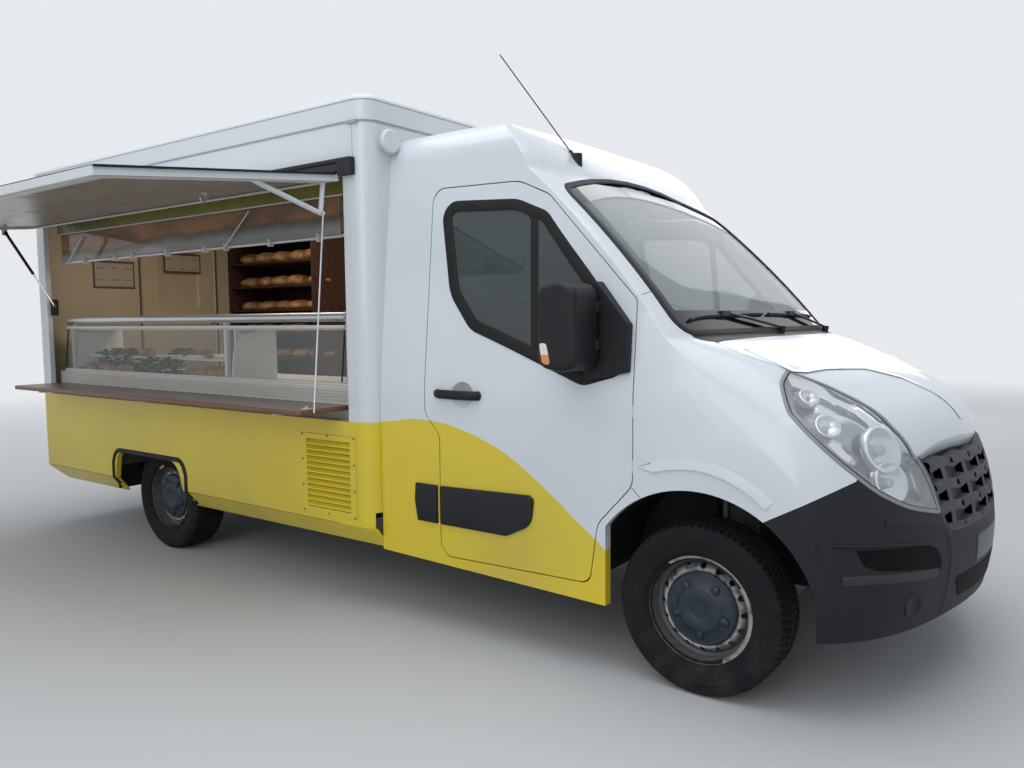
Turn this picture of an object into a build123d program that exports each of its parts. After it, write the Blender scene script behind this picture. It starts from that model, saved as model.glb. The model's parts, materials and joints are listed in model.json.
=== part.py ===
from build123d import *
import math
import os

# Food truck: van cab with a low sales box. All sizes are in millimetres.
# Vehicle frame: x forward with 0 at the front axle, y to the left with 0 on the centre line, z up from the
# ground.
# Every piece is moved by ORIGIN_SHIFT at the end, so that the origin is below the middle of the whole vehicle.

# Running gear
WHEELBASE = 3682
TYRE_RADIUS = 338
TYRE_WIDTH = 222
RIM_FLANGE_RADIUS = 214
RIM_SEAT_RADIUS = 203
RIM_WIDTH = 166
RIM_SHEET = 6
WHEEL_CENTRE_Y = 872
HUB_FACE = 10
HUB_RADIUS = 70
CAP_RADIUS = 146
CAP_DOME_RADIUS = 84
VENT_HOLES = 16
VENT_HOLE_RADIUS = 13
VENT_HOLE_CIRCLE = 168
KINGPIN_Y = 790
STRUT_Y = 690
DISC_RADIUS = 140
DISC_THICKNESS = 24
FIT_GAP = 0.3

# Cab
CAB_HALF_WIDTH = 1035
CAB_REAR_X = -1640
CAB_WALL = 42
SILL_Z = 300
ROOF_Z = 2425
ROOF_SHOULDER_Z = 2375
ROOF_CORNER_RADIUS = 170
BELT_Z = 1150
TUMBLEHOME = 118
FRONT_ARCH_RADIUS = 477
FRONT_ARCH_X = 8
FRONT_ARCH_Z = 345
FRONT_ARCH_ENDS = (-371, 462)
LINER_SHEET = 8
SHUT_GAP = 5
SEAM = 0.3
GLASS_THICKNESS = 6
GLASS_INSET = 4
DOOR_FRONT_X = -250
CAB_FLOOR_Z = 560
CAB_FLOOR_THICKNESS = 40
FIREWALL_X = -60
FIREWALL_TOP_Z = 1290

# Box body
BOX_HALF_WIDTH = 1100
BOX_FRONT_X = -1640
BOX_REAR_X = -5060
BOX_WALL = 35
BOX_CORNER_RADIUS = 90
RAIL_Z = 445
BOX_FLOOR_Z = 560
BOX_FLOOR_THICKNESS = 40
GUTTER_Z = 2435
ROOF_TOP_Z = 2560
ROOF_EDGE_RADIUS = 32
SKIRT_Z = 345
SKIRT_TUCK = 80
SKIRT_SHEET = 25
YELLOW_Z = 972
REAR_ARCH_TOP_Z = 622
REAR_ARCH_HALF = 412
REAR_ARCH_RADIUS = 75
WHEEL_BOX_TOP_Z = 770
WHEEL_BOX_HALF = 440
WHEEL_BOX_INNER_Y = 700

# Sales hatch in the right wall
HATCH_FRONT_X = -1800
HATCH_REAR_X = -4930
HATCH_TOP_Z = 2185
HATCH_GAP = 6
FLAP_THICKNESS = 35
FLAP_BELOW_LEVEL = 6.1
STRIP_TOP_Z = 2258
STRIP_DEPTH = 34
BRACKET_X = -1845
BRACKET_TUBE = 12
BRACKET_DROP = 150
BRACKET_APEX = 108
BRACKET_NEAR = 70
BRACKET_FAR = 500
HATCH_ROD_X = -1826
HATCH_ROD_RADIUS = 4
HATCH_ROD_LENGTH = 958
HATCH_ROD_LEAN = 5.4
STRUT_X = -4895
STRUT_POST_Y = -1066
STRUT_POST_Z = 1602
STRUT_FLAP_REACH = 250
STRUT_FLAP_DROP = 32
STRUT_TUBE_RADIUS = 10
STRUT_ROD_RADIUS = 5
STRUT_TUBE_LENGTH = 316
STRUT_ROD_LENGTH = 316
HINGE_Y = -BOX_HALF_WIDTH - 18
HINGE_Z = HATCH_TOP_Z + 2
FLAP_FRONT_X = HATCH_FRONT_X - HATCH_GAP
FLAP_REAR_X = HATCH_REAR_X + HATCH_GAP
FLAP_LENGTH = HINGE_Z - YELLOW_Z - HATCH_GAP

# Folding shelf under the hatch
SHELF_DEPTH = 330
SHELF_THICKNESS = 24
SHELF_TOP_Z = 1048
SHELF_HINGE_Y = -1034
SHELF_PIN_RADIUS = 3
SHELF_PIN_GAP = 0.5
SHELF_FRONT_X = -1850
SHELF_REAR_X = -4880

# Display counter and what hangs behind the hatch
COUNTER_FRONT_X = -1925
COUNTER_REAR_X = -4865
COUNTER_FACE_Y = -1004
COUNTER_BACK_Y = -340
COUNTER_DECK_Z = 1120
COUNTER_RAIL_Z = 1495
COUNTER_RAIL_RADIUS = 24
PANE_TOP_Z = 2165
PANE_BOTTOM_Z = 1905
PANE_Y = -1010

# Louvre panel in the lower right wall
LOUVRE_FRONT_X = -1755
LOUVRE_REAR_X = -2165
LOUVRE_TOP_Z = 895
LOUVRE_BOTTOM_Z = 480
LOUVRE_SLATS = 12

# Rear entry door and the under-run beam below it
UNDERRUN_HALF = 940
REAR_DOOR_RIGHT_Y = -330
REAR_DOOR_LEFT_Y = 330
REAR_DOOR_TOP_Z = 2350

# Frame, engine and tank
RAIL_Y = 400
RAIL_WIDTH = 80
RAIL_LOW_Z = 395
RAIL_TOP_Z = 519
RAIL_SHEET = 8
FRAME_FRONT_X = 700
FRAME_REAR_X = -4980
CROSS_MEMBERS_X = (640, -900, -1700, -2500, -3020, -4350, -4900)
OUTRIGGERS_X = (-1800, -2500, -3080, -4330, -4900)
TOW_PLATE = 10
TOW_HOLE_RADIUS = 7
TOW_HOLE_Y = 200
TOW_HOLES_Z = (455, 500)
ENGINE_REAR_X = 60
ENGINE_FRONT_X = 560
ENGINE_HALF_WIDTH = 260
ENGINE_LOW_Z = 330
ENGINE_TOP_Z = 1060
TANK_REAR_X = -2300
TANK_FRONT_X = -1250
TANK_RIGHT_Y = -330
TANK_LEFT_Y = 90
TANK_LOW_Z = 290
TANK_TOP_Z = 420
PIPE_Y = 225
PIPE_RADIUS = 25
SILENCER_RADIUS = 80
FLOOR_HALF_WIDTH = CAB_HALF_WIDTH - CAB_WALL
LINER_Y = 545

# Inside the cab
SEATS = ((500, 480, 1), (-300, 880, 2))
SEAT_FRONT_X = -620
SEAT_REAR_X = -1120
STEERING_HUB = (-520, 480, 1235)
STEERING_TILT = 122
STEERING_RADIUS = 205
COLUMN_LENGTH = 200

# Hinges of the cab doors, the bonnet and the rear door
HINGE_PIN_RADIUS = 2
HINGE_PIN_GAP = SHUT_GAP / 2
DOOR_HINGE_Y = CAB_HALF_WIDTH - 2
DOOR_HINGES_Z = (890, 1110)
BONNET_LEAN = 0.45
BONNET_HINGE_X = 12.4
BONNET_HINGE_Y = 700
BONNET_HINGE_Z = 1383
REAR_HINGES_Z = (800, 2100)

# Front grille
GRILLE_DEPTH = 26
GRILLE_BACK = 12
GRILLE_BARS_Z = (680, 760, 840, 920)
GRILLE_BAR_HEIGHT = 38
GRILLE_PITCH = 190
GRILLE_WAVE = 7
GRILLE_HOLE = 20
GRILLE_TIE = 34
GRILLE_SURROUND = 16

# Roof vent on the box front wall
VENT_Y = -965
VENT_Z = 2340
VENT_RADIUS = 58

# Aerial on the cab roof
AERIAL_BASE = (-833, -515, 2234)
AERIAL_TIP = (-1272, -515, 2793)

# Bread rack
RACK_REAR_X = -5015
RACK_FRONT_X = -3900
RACK_DEPTH = 600
RACK_TOP_Z = 2200
RACK_SHELVES_Z = (960, 1160, 1360, 1560, 1760, 1960)

# Ends of the whole vehicle with the hatch open, and the way to its origin below the middle
CAB_NOSE_X = 882.5
MIRROR_OUTER_Y = 1235
HANDLE_REACH = 40
FLAP_TIP_Y = HINGE_Y - FLAP_LENGTH * math.cos(math.radians(FLAP_BELOW_LEVEL))
ORIGIN_SHIFT = Pos(-(CAB_NOSE_X + BOX_REAR_X - HANDLE_REACH) / 2, -(MIRROR_OUTER_Y + FLAP_TIP_Y) / 2, 0)
DIRECTIONS = {"x": (1, 0, 0), "y": (0, 1, 0), "z": (0, 0, 1)}


def place(axis, u, v, w):
    """A point from its outline values u, v and its place w along the axis: (y, z) on x, (x, z) on y, (x, y)
    on z."""
    return {"x": (w, u, v), "y": (u, w, v), "z": (u, v, w)}[axis]


def prism(axis, outline, start, end, radius=0):
    """A closed outline with rounded corners, drawn out along an axis. radius is one value or one for each
    corner."""
    points = [place(axis, u, v, start) for u, v in outline]
    if radius == 0:
        rim = Polyline(*points, close=True)
    else:
        rim = FilletPolyline(*points, radius=radius, close=True)
    return extrude(make_face(rim), amount=end - start, dir=DIRECTIONS[axis])


def block(x0, x1, y0, y1, z0, z1):
    """A box between two corners."""
    return Pos((x0 + x1) / 2, (y0 + y1) / 2, (z0 + z1) / 2) * Box(abs(x1 - x0), abs(y1 - y0), abs(z1 - z0))


def bar(axis, u, v, start, end, radius):
    """A round bar along an axis."""
    plane = Plane(origin=place(axis, u, v, start), z_dir=DIRECTIONS[axis])
    return extrude(plane * Circle(radius), amount=end - start)


def tube_between(a, b, radius):
    """A round bar from point a to point b."""
    run = Vector(*b) - Vector(*a)
    return extrude(Plane(origin=a, z_dir=run) * Circle(radius), amount=run.length)


def both_sides(piece):
    """A left piece with its mirror image on the right."""
    return piece + mirror(piece, about=Plane.XZ)


def right_of(piece):
    """The mirror image, on the right, of a left piece."""
    return mirror(piece, about=Plane.XZ)


def set_in(points, inset):
    """The points of a clockwise closed outline, each moved inward by the inset along its mitre."""
    moved = []
    count = len(points)
    for i in range(count):
        before, here, after = points[i - 1], points[i], points[(i + 1) % count]
        normals = []
        for a, b in ((before, here), (here, after)):
            run = math.hypot(b[0] - a[0], b[1] - a[1])
            normals.append(((b[1] - a[1]) / run, (a[0] - b[0]) / run))
        (ax, az), (bx, bz) = normals
        share = inset / (1 + ax * bx + az * bz)
        moved.append((here[0] + share * (ax + bx), here[1] + share * (az + bz)))
    return moved


# The cab's side outline on the centre line, clockwise from the rear sill: x, z and what shapes it across the
# width.
# "nose" points stand back and drop towards the sides, "screen" points stand back with the windscreen.
CAB_OUTLINE = (
    (CAB_REAR_X, SILL_Z, "fixed"),
    (CAB_REAR_X, ROOF_Z + 20, "fixed"),
    (-1250, ROOF_Z + 10, "fixed"),
    (-950, 2342, "screen"),
    (-758, 2127, "screen"),
    (-376, 1780, "screen"),
    (-30, 1395, "screen"),
    (330, 1312, "bonnet"),
    (655, 1172, "nose"),
    (762, 1078, "nose"),
    (812, 945, "nose"),
    (882, 620, "nose"),
    (837.3, SILL_Z, "nose"),
)
# How the outline changes across the width: y, nose back, shoulder drop, windscreen back
CAB_STATIONS = (
    (0, 0, 0, 0),
    (450, 62, 5, 4),
    (780, 172, 20, 14),
    (950, 300, 52, 50),
    (1035, 440, 125, 120),
)


def cab_section(station, inset, open_by):
    """The closed rim of the cab's side outline at one station, moved in by the inset."""
    y, nose_back, drop, screen_back = station
    points = []
    for x, z, kind in CAB_OUTLINE:
        back = {"fixed": 0, "screen": screen_back, "bonnet": (nose_back + screen_back) / 2,
            "nose": nose_back}[kind]
        lower = drop if kind in ("bonnet",
            "nose") and z > 1000 else drop / 3 if kind == "nose" and z > 900 else 0
        points.append((x - back, z - lower))
    points = set_in(points, inset) if inset else points
    if open_by:
        points[0] = (points[0][0] - inset - open_by, points[0][1] - inset - open_by)
        points[1] = (points[1][0] - inset - open_by, points[1][1])
        points[-1] = (points[-1][0], points[-1][1] - inset - open_by)
    p = [Vector(x, y, z) for x, z in points]
    edges = [Line(p[0], p[1]), Line(p[1], p[2])]
    edges += [ThreePointArc(p[i], p[i + 1], p[i + 2]) for i in (2, 4, 6, 8, 10)]
    edges.append(Line(p[12], p[0]))
    return Face(Wire([edge.edge() for edge in edges]))


def cab_form(inset=0, open_by=0):
    """The cab's whole outer form, or the same form moved in by the inset and opened to the rear and below."""
    narrow = (CAB_HALF_WIDTH - inset) / CAB_HALF_WIDTH
    stations = [(-y * narrow, nose, drop, back) for y, nose, drop, back in CAB_STATIONS[:0:-1]]
    stations += [(y * narrow, nose, drop, back) for y, nose, drop, back in CAB_STATIONS]
    body = loft([cab_section(station, inset, open_by) for station in stations])
    low = SILL_Z - open_by - 50
    half = ((-CAB_HALF_WIDTH, low), (-CAB_HALF_WIDTH, BELT_Z), (-CAB_HALF_WIDTH + TUMBLEHOME, ROOF_SHOULDER_Z))
    outline = list(half) + [(0, ROOF_Z)] + [(-y, z) for y, z in reversed(half)]
    radii = [0, 900, ROOF_CORNER_RADIUS - inset, 4500, ROOF_CORNER_RADIUS - inset, 900, 0]
    front = prism("x", set_in(outline, inset) if inset else outline, CAB_REAR_X - open_by - 50, 1000, radii)
    return body & front


# Outlines that part the cab's panels. Side outlines are x, z, corner radius; plan outlines are x, y, corner
# radius.
DOOR_OUTLINE = (
    (-1345, 1040, 70),
    (-1255, 940, 70),
    (-1255, 420, 45),
    (-1215, 372, 45),
    (-447, 386, 50),
    (-410, 640, 90),
    (DOOR_FRONT_X, 815, 90),
    (DOOR_FRONT_X, 1545, 40),
    (-690, 2000, 90),
    (-850, 2072, 200),
    (-1345, 2085, 70),
)
WINDOW_OUTLINE = (
    (-1205, 1600, 200),
    (-1080, 1440, 120),
    (-470, 1215, 60),
    (-305, 1262, 50),
    (-305, 1440, 40),
    (-700, 1925, 90),
    (-860, 1990, 200),
    (-1278, 2008, 60),
)
SCREEN_OUTLINE = (
    (-925, 1418, 60),
    (925, 1418, 60),
    (850, 2040, 80),
    (0, 2230, 3000),
    (-850, 2040, 80),
)
BONNET_OUTLINE = (
    # x, y, height of the skin there, corner radius
    (26, 0, 1384, 0),
    (14, -700, 1381, 900),
    (10, -824, 1375, 14),
    (110, -837, 1336, 150),
    (218, -804, 1296, 400),
    (390, -730, 1228, 300),
    (511, -693, 1165, 300),
    (626, -680, 1074, 120),
    (697, -634, 962, 22),
    (721, -442, 952, 400),
    (785, -153, 974, 800),
    (804, 0, 980, 0),
)
SCUTTLE_OUTLINE = (
    # x, y of the black panel between bonnet and windscreen, corner radius
    (40, -824, 0),
    (6, -824, 20),
    (-24, -872, 60),
    (-80, -892, 60),
    (-180, -900, 0),
    (-180, 900, 0),
    (-80, 892, 60),
    (-24, 872, 60),
    (6, 824, 20),
    (40, 824, 0),
)
HEADLAMP_OUTLINE = (
    (262, 1340, 0),
    (275, 1235, 60),
    (330, 1130, 120),
    (450, 1015, 300),
    (620, 853, 400),
    (700, 792, 150),
    (775, 750, 12),
    (860, 850, 0),
    (700, 1340, 0),
)
BUMPER_OUTLINE = (
    (262, 200),
    (262, 733),
    (560, 901),
    (600, 1110),
    (1000, 1110),
    (1000, 200),
)
SILL_CUT = ((-1700, 200), (-1700, 339), (-340, 302), (262, 318), (900, 350), (900, 200))
GRILLE_OUTLINE = (
    (-650, 1020, 0),
    (-600, 900, 300),
    (-578, 770, 150),
    (-545, 682, 55),
    (-430, 667, 150),
    (430, 667, 150),
    (545, 682, 55),
    (578, 770, 150),
    (600, 900, 300),
    (650, 1020, 0),
)
WING_REAR_X = DOOR_FRONT_X + SHUT_GAP
BONNET_LOW_Z = 935
ENGINE_SIDE_Y = 560


def outline_of(table):
    """The points of an outline table."""
    return [row[:2] for row in table]


def radii_of(table):
    """The corner radii of an outline table."""
    return [row[2] for row in table]


def grown(table, by):
    """An outline table with each point moved outward by a gap. Anticlockwise and clockwise tables both grow."""
    points = outline_of(table)
    area = sum(a[0] * b[1] - b[0] * a[1] for a, b in zip(points, points[1:] + points[:1]))
    return [(x, y, row[2]) for (x, y), row in zip(set_in(points, by if area > 0 else -by), table)]


def cutter(axis, table, start, end):
    """A prism from an outline table."""
    return prism(axis, outline_of(table), start, end, radii_of(table))


def bonnet_cutter(by):
    """The bonnet's plan, grown by a gap and drawn along the way it lifts, so its edges lean forward."""
    half = [(x - BONNET_LEAN * (z - 800), y, radius) for x, y, z, radius in BONNET_OUTLINE]
    plan = half + [(x, -y, radius) for x, y, radius in reversed(half[1:-1])]
    table = grown(plan, by) if by else plan
    points = [(x, y, 800) for x, y in outline_of(table)]
    rim = FilletPolyline(*points, radius=radii_of(table), close=True)
    form = extrude(make_face(rim), amount=800, dir=(BONNET_LEAN, 0, 1))
    return form & block(-400, 1400, -1200, 1200, BONNET_LOW_Z - by, 1590)


def hinge_pin(x, y, z0, z1, leaf_x, leaf_y):
    """An upright hinge pin with the leaf that holds it on the fixed side."""
    leaf = block(min(x, leaf_x), max(x, leaf_x), min(y, leaf_y), max(y, leaf_y), z0, z1)
    return bar("z", x, y, z0, z1, HINGE_PIN_RADIUS) + leaf


def make_cab():
    """The cab's panels, cut from one form along their real joints."""
    outer = cab_form()
    shell = outer - cab_form(CAB_WALL, 200) - prism("y", SILL_CUT, -1100, 1100)
    far = CAB_HALF_WIDTH + 50
    side = CAB_HALF_WIDTH - 260
    door_hole = cutter("y", grown(DOOR_OUTLINE, SHUT_GAP), side, far)
    door_form = cutter("y", DOOR_OUTLINE, side, far)
    window = cutter("y", WINDOW_OUTLINE, side, far)
    glass_form = cutter("y", grown(WINDOW_OUTLINE, -SEAM), side, far)
    glass_sheet = cab_form(GLASS_INSET, 0) - cab_form(GLASS_INSET + GLASS_THICKNESS, 200)
    screen_hole = cutter("x", SCREEN_OUTLINE, -1000, 400)
    screen_form = cutter("x", grown(SCREEN_OUTLINE, -SEAM), -1000, 400)
    arch_rear, arch_front = FRONT_ARCH_ENDS
    arch = bar("y", FRONT_ARCH_X, FRONT_ARCH_Z, 400, far, FRONT_ARCH_RADIUS)
    arch += block(arch_rear, arch_front, 400, far, 200, FRONT_ARCH_Z)
    arch &= block(arch_rear, arch_front, 400, far, 200, 900)
    bonnet_form = bonnet_cutter(0)
    bonnet_hole = bonnet_cutter(SHUT_GAP)
    lamp_form = cutter("y", HEADLAMP_OUTLINE, 420, far) - bonnet_hole
    grille_form = cutter("x", GRILLE_OUTLINE, 500, 1000) - bonnet_hole
    bumper_form = prism("y", BUMPER_OUTLINE, -far, far)
    wing_form = block(WING_REAR_X, 700, ENGINE_SIDE_Y, far, 640, 1500)
    wing_form += block(WING_REAR_X - 170, WING_REAR_X, ENGINE_SIDE_Y, far, 572, 840)
    cowl_form = cutter("z", SCUTTLE_OUTLINE, 1300, 1500)

    pieces = {}
    left_door = (shell & door_form) - window
    left_door = left_door.solids().sort_by(SortBy.VOLUME)[-1]
    left_glass = glass_sheet & glass_form
    pieces["door_left"] = left_door
    pieces["door_right"] = right_of(left_door)
    pieces["door_glass_left"] = left_glass
    pieces["door_glass_right"] = right_of(left_glass)
    pieces["windscreen"] = glass_sheet & screen_form
    pieces["bonnet"] = shell & bonnet_form
    pieces["headlamps"] = both_sides((shell & lamp_form) - grille_form)
    lamp_holes = both_sides(lamp_form)
    pieces["front_bumper"] = ((shell & bumper_form) - grille_form - lamp_holes) - both_sides(arch) - bonnet_hole
    wing = (shell & wing_form) - arch - door_hole - bonnet_hole - lamp_form - bumper_form - grille_form
    wing = wing - screen_hole - cowl_form
    hinge_x = DOOR_FRONT_X + HINGE_PIN_GAP
    for z in DOOR_HINGES_Z:
        wing += hinge_pin(hinge_x, DOOR_HINGE_Y, z - 25, z + 25, WING_REAR_X + 6, DOOR_HINGE_Y - 4)
    pieces["front_wings"] = both_sides(wing)
    x, y, z = BONNET_HINGE_X, BONNET_HINGE_Y, BONNET_HINGE_Z
    bonnet_leaf = block(x - 12, x, y - 4, y + 4, z - 2, z + 1) + bar("y", x, z, y - 4, y + 4, HINGE_PIN_RADIUS)
    pieces["scuttle"] = (shell & cowl_form) - screen_hole - bonnet_hole + both_sides(bonnet_leaf)
    rest = shell - both_sides(door_hole) - screen_hole - bonnet_hole - both_sides(lamp_form) - grille_form
    rest = rest - bumper_form - both_sides(wing_form) - both_sides(arch) - cowl_form
    pieces["cab_shell"] = rest
    pieces["front_grille"] = make_grille(outer, grille_form)
    return pieces


def grille_lattice():
    """Wavy bars seen from ahead, with a square hole at each low point and a tie down to the next bar at each
    peak."""
    half = GRILLE_BAR_HEIGHT / 2
    steps = range(-6, 7)
    lattice = None
    for z in GRILLE_BARS_Z:
        wave = [(i * GRILLE_PITCH / 2, z + (GRILLE_WAVE if i % 2 else -GRILLE_WAVE)) for i in steps]
        rim = [(y, mid - half) for y, mid in wave] + [(y, mid + half) for y, mid in reversed(wave)]
        bar_form = prism("x", rim, 500, 1000)
        for y, mid in wave[::2]:
            bar_form -= block(500, 1000, y - GRILLE_HOLE / 2, y + GRILLE_HOLE / 2, mid - 4,
                mid - 4 + GRILLE_HOLE)
        lattice = bar_form if lattice is None else lattice + bar_form
        if z > GRILLE_BARS_Z[0]:
            for y, mid in wave[1::2]:
                lattice += block(500, 1000, y - GRILLE_TIE / 2, y + GRILLE_TIE / 2, mid - 70, mid)
    return lattice


def make_grille(outer, grille_form):
    """Grille: a thick piece of the nose with pockets sunk between its surround, wavy bars and ties."""
    middle = cutter("x", grown(GRILLE_OUTLINE, -GRILLE_SURROUND), 500, 1000)
    pockets = (middle - grille_lattice()) - cab_form(GRILLE_DEPTH)
    nose = (outer & grille_form) - cab_form(GRILLE_DEPTH + GRILLE_BACK, 200)
    return nose - pockets


def spun(profile, radius=0):
    """A ring turned about the y axis from a closed outline of y, distance from the axis."""
    points = [(0, y, r) for y, r in profile]
    rim = FilletPolyline(*points, radius=radius, close=True) if radius else Polyline(*points, close=True)
    return revolve(make_face(rim), axis=Axis.Y)


def make_wheel():
    """A left wheel about its own centre, outboard towards +y: tyre, then rim with its cap."""
    half = TYRE_WIDTH / 2
    bead = RIM_WIDTH / 2 - RIM_SHEET - FIT_GAP
    bore = RIM_SEAT_RADIUS + FIT_GAP
    right_half = [(bead, bore), (bead, RIM_FLANGE_RADIUS + 1), (half - 16, 236), (half, 282),
        (half - 14, TYRE_RADIUS)]
    tyre_outline = right_half + [(-y, r) for y, r in reversed(right_half)]
    tyre_radii = [0, 0, 12, 40, 26]
    tyre = spun(tyre_outline, tyre_radii + tyre_radii[::-1])

    edge = RIM_WIDTH / 2
    seat, flange, sheet = RIM_SEAT_RADIUS, RIM_FLANGE_RADIUS, RIM_SHEET
    drop = seat - 16
    barrel = spun([
        (edge, flange), (edge - sheet, flange), (edge - sheet, seat), (34, seat), (24, drop), (-34, drop),
        (-44, seat), (-edge + sheet, seat), (-edge + sheet, flange), (-edge, flange), (-edge, seat - sheet),
        (-41, seat - sheet), (-31, drop - sheet), (21, drop - sheet), (31, seat - sheet), (edge, seat - sheet),
    ])
    sheet = RIM_SHEET + 2
    disc = spun([
        (HUB_FACE + sheet, 32), (HUB_FACE + sheet, 116), (46, 142), (52, 158), (26, drop - 3), (14, drop - 3),
        (42, 157), (37, 146), (HUB_FACE, 120), (HUB_FACE, 32),
    ])
    for i in range(VENT_HOLES):
        turn = Rot(0, 360 * i / VENT_HOLES, 0)
        hole = Pos(0, 0, VENT_HOLE_CIRCLE) * Rot(-90, 0, 0) * RegularPolygon(VENT_HOLE_RADIUS, 8)
        disc -= turn * extrude(hole, amount=80, dir=(0, 1, 0))
    cap_seat = 52 + FIT_GAP
    cap = spun([
        (cap_seat, 0.001), (cap_seat, CAP_RADIUS - 10), (48, CAP_RADIUS - 4), (48, CAP_RADIUS - 0.5),
        (cap_seat + 6, CAP_RADIUS), (cap_seat + 14, CAP_RADIUS - 8),
        (cap_seat + 17, CAP_DOME_RADIUS + 14), (cap_seat + 29, CAP_DOME_RADIUS), (cap_seat + 31, 0.001),
    ])
    return tyre, barrel + disc, cap


def make_wheels():
    """Four tyres and four rims with caps, each at its axle end."""
    tyre, rim, cap = make_wheel()
    pieces = {}
    for axle, x in (("front", 0), ("rear", -WHEELBASE)):
        for side in ("left", "right"):
            here = Pos(x, WHEEL_CENTRE_Y, TYRE_RADIUS)
            parts = [here * part for part in (tyre, rim, cap)]
            if side == "right":
                parts = [right_of(part) for part in parts]
            pieces[f"tyre_{axle}_{side}"] = parts[0]
            pieces[f"rim_{axle}_{side}"] = parts[1] + parts[2]
    return pieces


def make_chassis():
    """Ladder frame of two channel rails with cross members, outriggers and the drilled tow bar plate at the
    tail."""
    outer = block(FRAME_REAR_X, FRAME_FRONT_X, RAIL_Y - RAIL_WIDTH / 2, RAIL_Y + RAIL_WIDTH / 2, RAIL_LOW_Z,
        RAIL_TOP_Z)
    hollow = block(
        FRAME_REAR_X - 1, FRAME_FRONT_X + 1, RAIL_Y - RAIL_WIDTH, RAIL_Y + RAIL_WIDTH / 2 - RAIL_SHEET,
        RAIL_LOW_Z + RAIL_SHEET, RAIL_TOP_Z - RAIL_SHEET,
    )
    frame = both_sides(outer - hollow)
    web = RAIL_Y + RAIL_WIDTH / 2 - RAIL_SHEET
    for x in CROSS_MEMBERS_X:
        frame += block(x - 30, x + 30, -web, web, TANK_TOP_Z, 490)
    for x in OUTRIGGERS_X:
        frame += both_sides(block(x - 25, x + 25, RAIL_Y, BOX_HALF_WIDTH - BOX_WALL - SEAM, 455, RAIL_TOP_Z))
    tow_plate = block(FRAME_REAR_X, FRAME_REAR_X + TOW_PLATE, -RAIL_Y, RAIL_Y, RAIL_LOW_Z, RAIL_TOP_Z)
    for z in TOW_HOLES_Z:
        tow_plate -= both_sides(bar("x", TOW_HOLE_Y, z, FRAME_REAR_X - 1, FRAME_REAR_X + TOW_PLATE + 1,
            TOW_HOLE_RADIUS))
    crash_plate = block(FRAME_FRONT_X, FRAME_FRONT_X + 12, -470, 470, RAIL_LOW_Z, RAIL_TOP_Z)
    return frame + tow_plate + crash_plate


def make_engine():
    """Engine and gearbox as one plain block, chamfered below, on two mounts to the rails."""
    x0, x1, z0, z1 = ENGINE_REAR_X, ENGINE_FRONT_X, ENGINE_LOW_Z, ENGINE_TOP_Z
    outline = (
        (x0, z0 + 90), (x0, z1 - 120), (x0 + 60, z1), (x1 - 90, z1), (x1, z1 - 160), (x1, z0 + 60),
        (x1 - 60, z0),
        (x0 + 90, z0),
    )
    gearbox = bar("x", 0, 400, x0 - 420, x0 + 10, 105)
    mounts = both_sides(block(x0 + 200, x0 + 280, ENGINE_HALF_WIDTH - 10, RAIL_Y - RAIL_WIDTH / 2, 430, 480))
    return prism("y", outline, -ENGINE_HALF_WIDTH, ENGINE_HALF_WIDTH, 20) + gearbox + mounts


def make_tank():
    """Fuel tank hung under the cross members between the rails, with two straps."""
    outline = (
        (TANK_RIGHT_Y, TANK_LOW_Z), (TANK_RIGHT_Y, TANK_TOP_Z), (TANK_LEFT_Y, TANK_TOP_Z),
        (TANK_LEFT_Y, TANK_LOW_Z),
    )
    tank = prism("x", outline, TANK_REAR_X, TANK_FRONT_X, 40)
    band = [(y + (6 if y > 0 else -6), z - (6 if z < TANK_TOP_Z else 0)) for y, z in outline]
    for x in (TANK_REAR_X + 250, TANK_FRONT_X - 250):
        tank += prism("x", band, x - 20, x + 20, [46, 0, 0, 46])
    return tank


def make_exhaust():
    """Exhaust pipe from behind the engine, with its silencer, and a tail turned out to the left ahead of the
    axle."""
    route = (
        (ENGINE_REAR_X + 10, 180, 540), (-180, 190, 360), (-700, PIPE_Y, 350), (-2440, PIPE_Y, 350),
        (-2500, PIPE_Y, 320),
    )
    pipe = None
    for a, b in zip(route, route[1:]):
        piece = tube_between(a, b, PIPE_RADIUS) + Pos(*b) * Sphere(PIPE_RADIUS)
        pipe = piece if pipe is None else pipe + piece
    pipe -= block(ENGINE_REAR_X - SEAM, ENGINE_REAR_X + 80, 100, 260, 400, 700)
    silencer = bar("x", PIPE_Y, 320, -2960, -2490, SILENCER_RADIUS)
    hanger = block(-2520, -2500, PIPE_Y - 12, PIPE_Y + 12, 320 + SILENCER_RADIUS - 10, TANK_TOP_Z)
    bend = (-3005, PIPE_Y + 40, 320)
    tail = tube_between((-2950, PIPE_Y, 320), bend, 22) + Pos(*bend) * Sphere(22)
    tail += tube_between(bend, (-3030, 680, 300), 22)
    return silencer + tail + hanger + pipe


def make_front_suspension():
    """Front cross member with its lower arms, and a strut with its tower above each arm."""
    beam = block(-190, 150, -330, 330, 215, 290) + both_sides(block(-150, 110, 300, 370, 215, RAIL_LOW_Z))
    arm_plan = ((-150, 330, 0), (110, 330, 0), (34, KINGPIN_Y - 20, 20), (-34, KINGPIN_Y - 20, 20))
    arm = cutter("z", arm_plan, 236, 262) + bar("z", 0, KINGPIN_Y, 236, 262, 34)
    strut = bar("z", 0, STRUT_Y, 440, 640, 25) + bar("z", 0, STRUT_Y, 620, 780, 13) + bar("z", 0, STRUT_Y,
        776, 798, 62)
    inner = RAIL_Y + RAIL_WIDTH / 2
    tower = block(-75, 75, inner, STRUT_Y + 70, 797, 809) + block(-75, 75, inner, inner + 12, RAIL_TOP_Z - 60,
        809)
    return beam + both_sides(arm + strut + tower)


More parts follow.
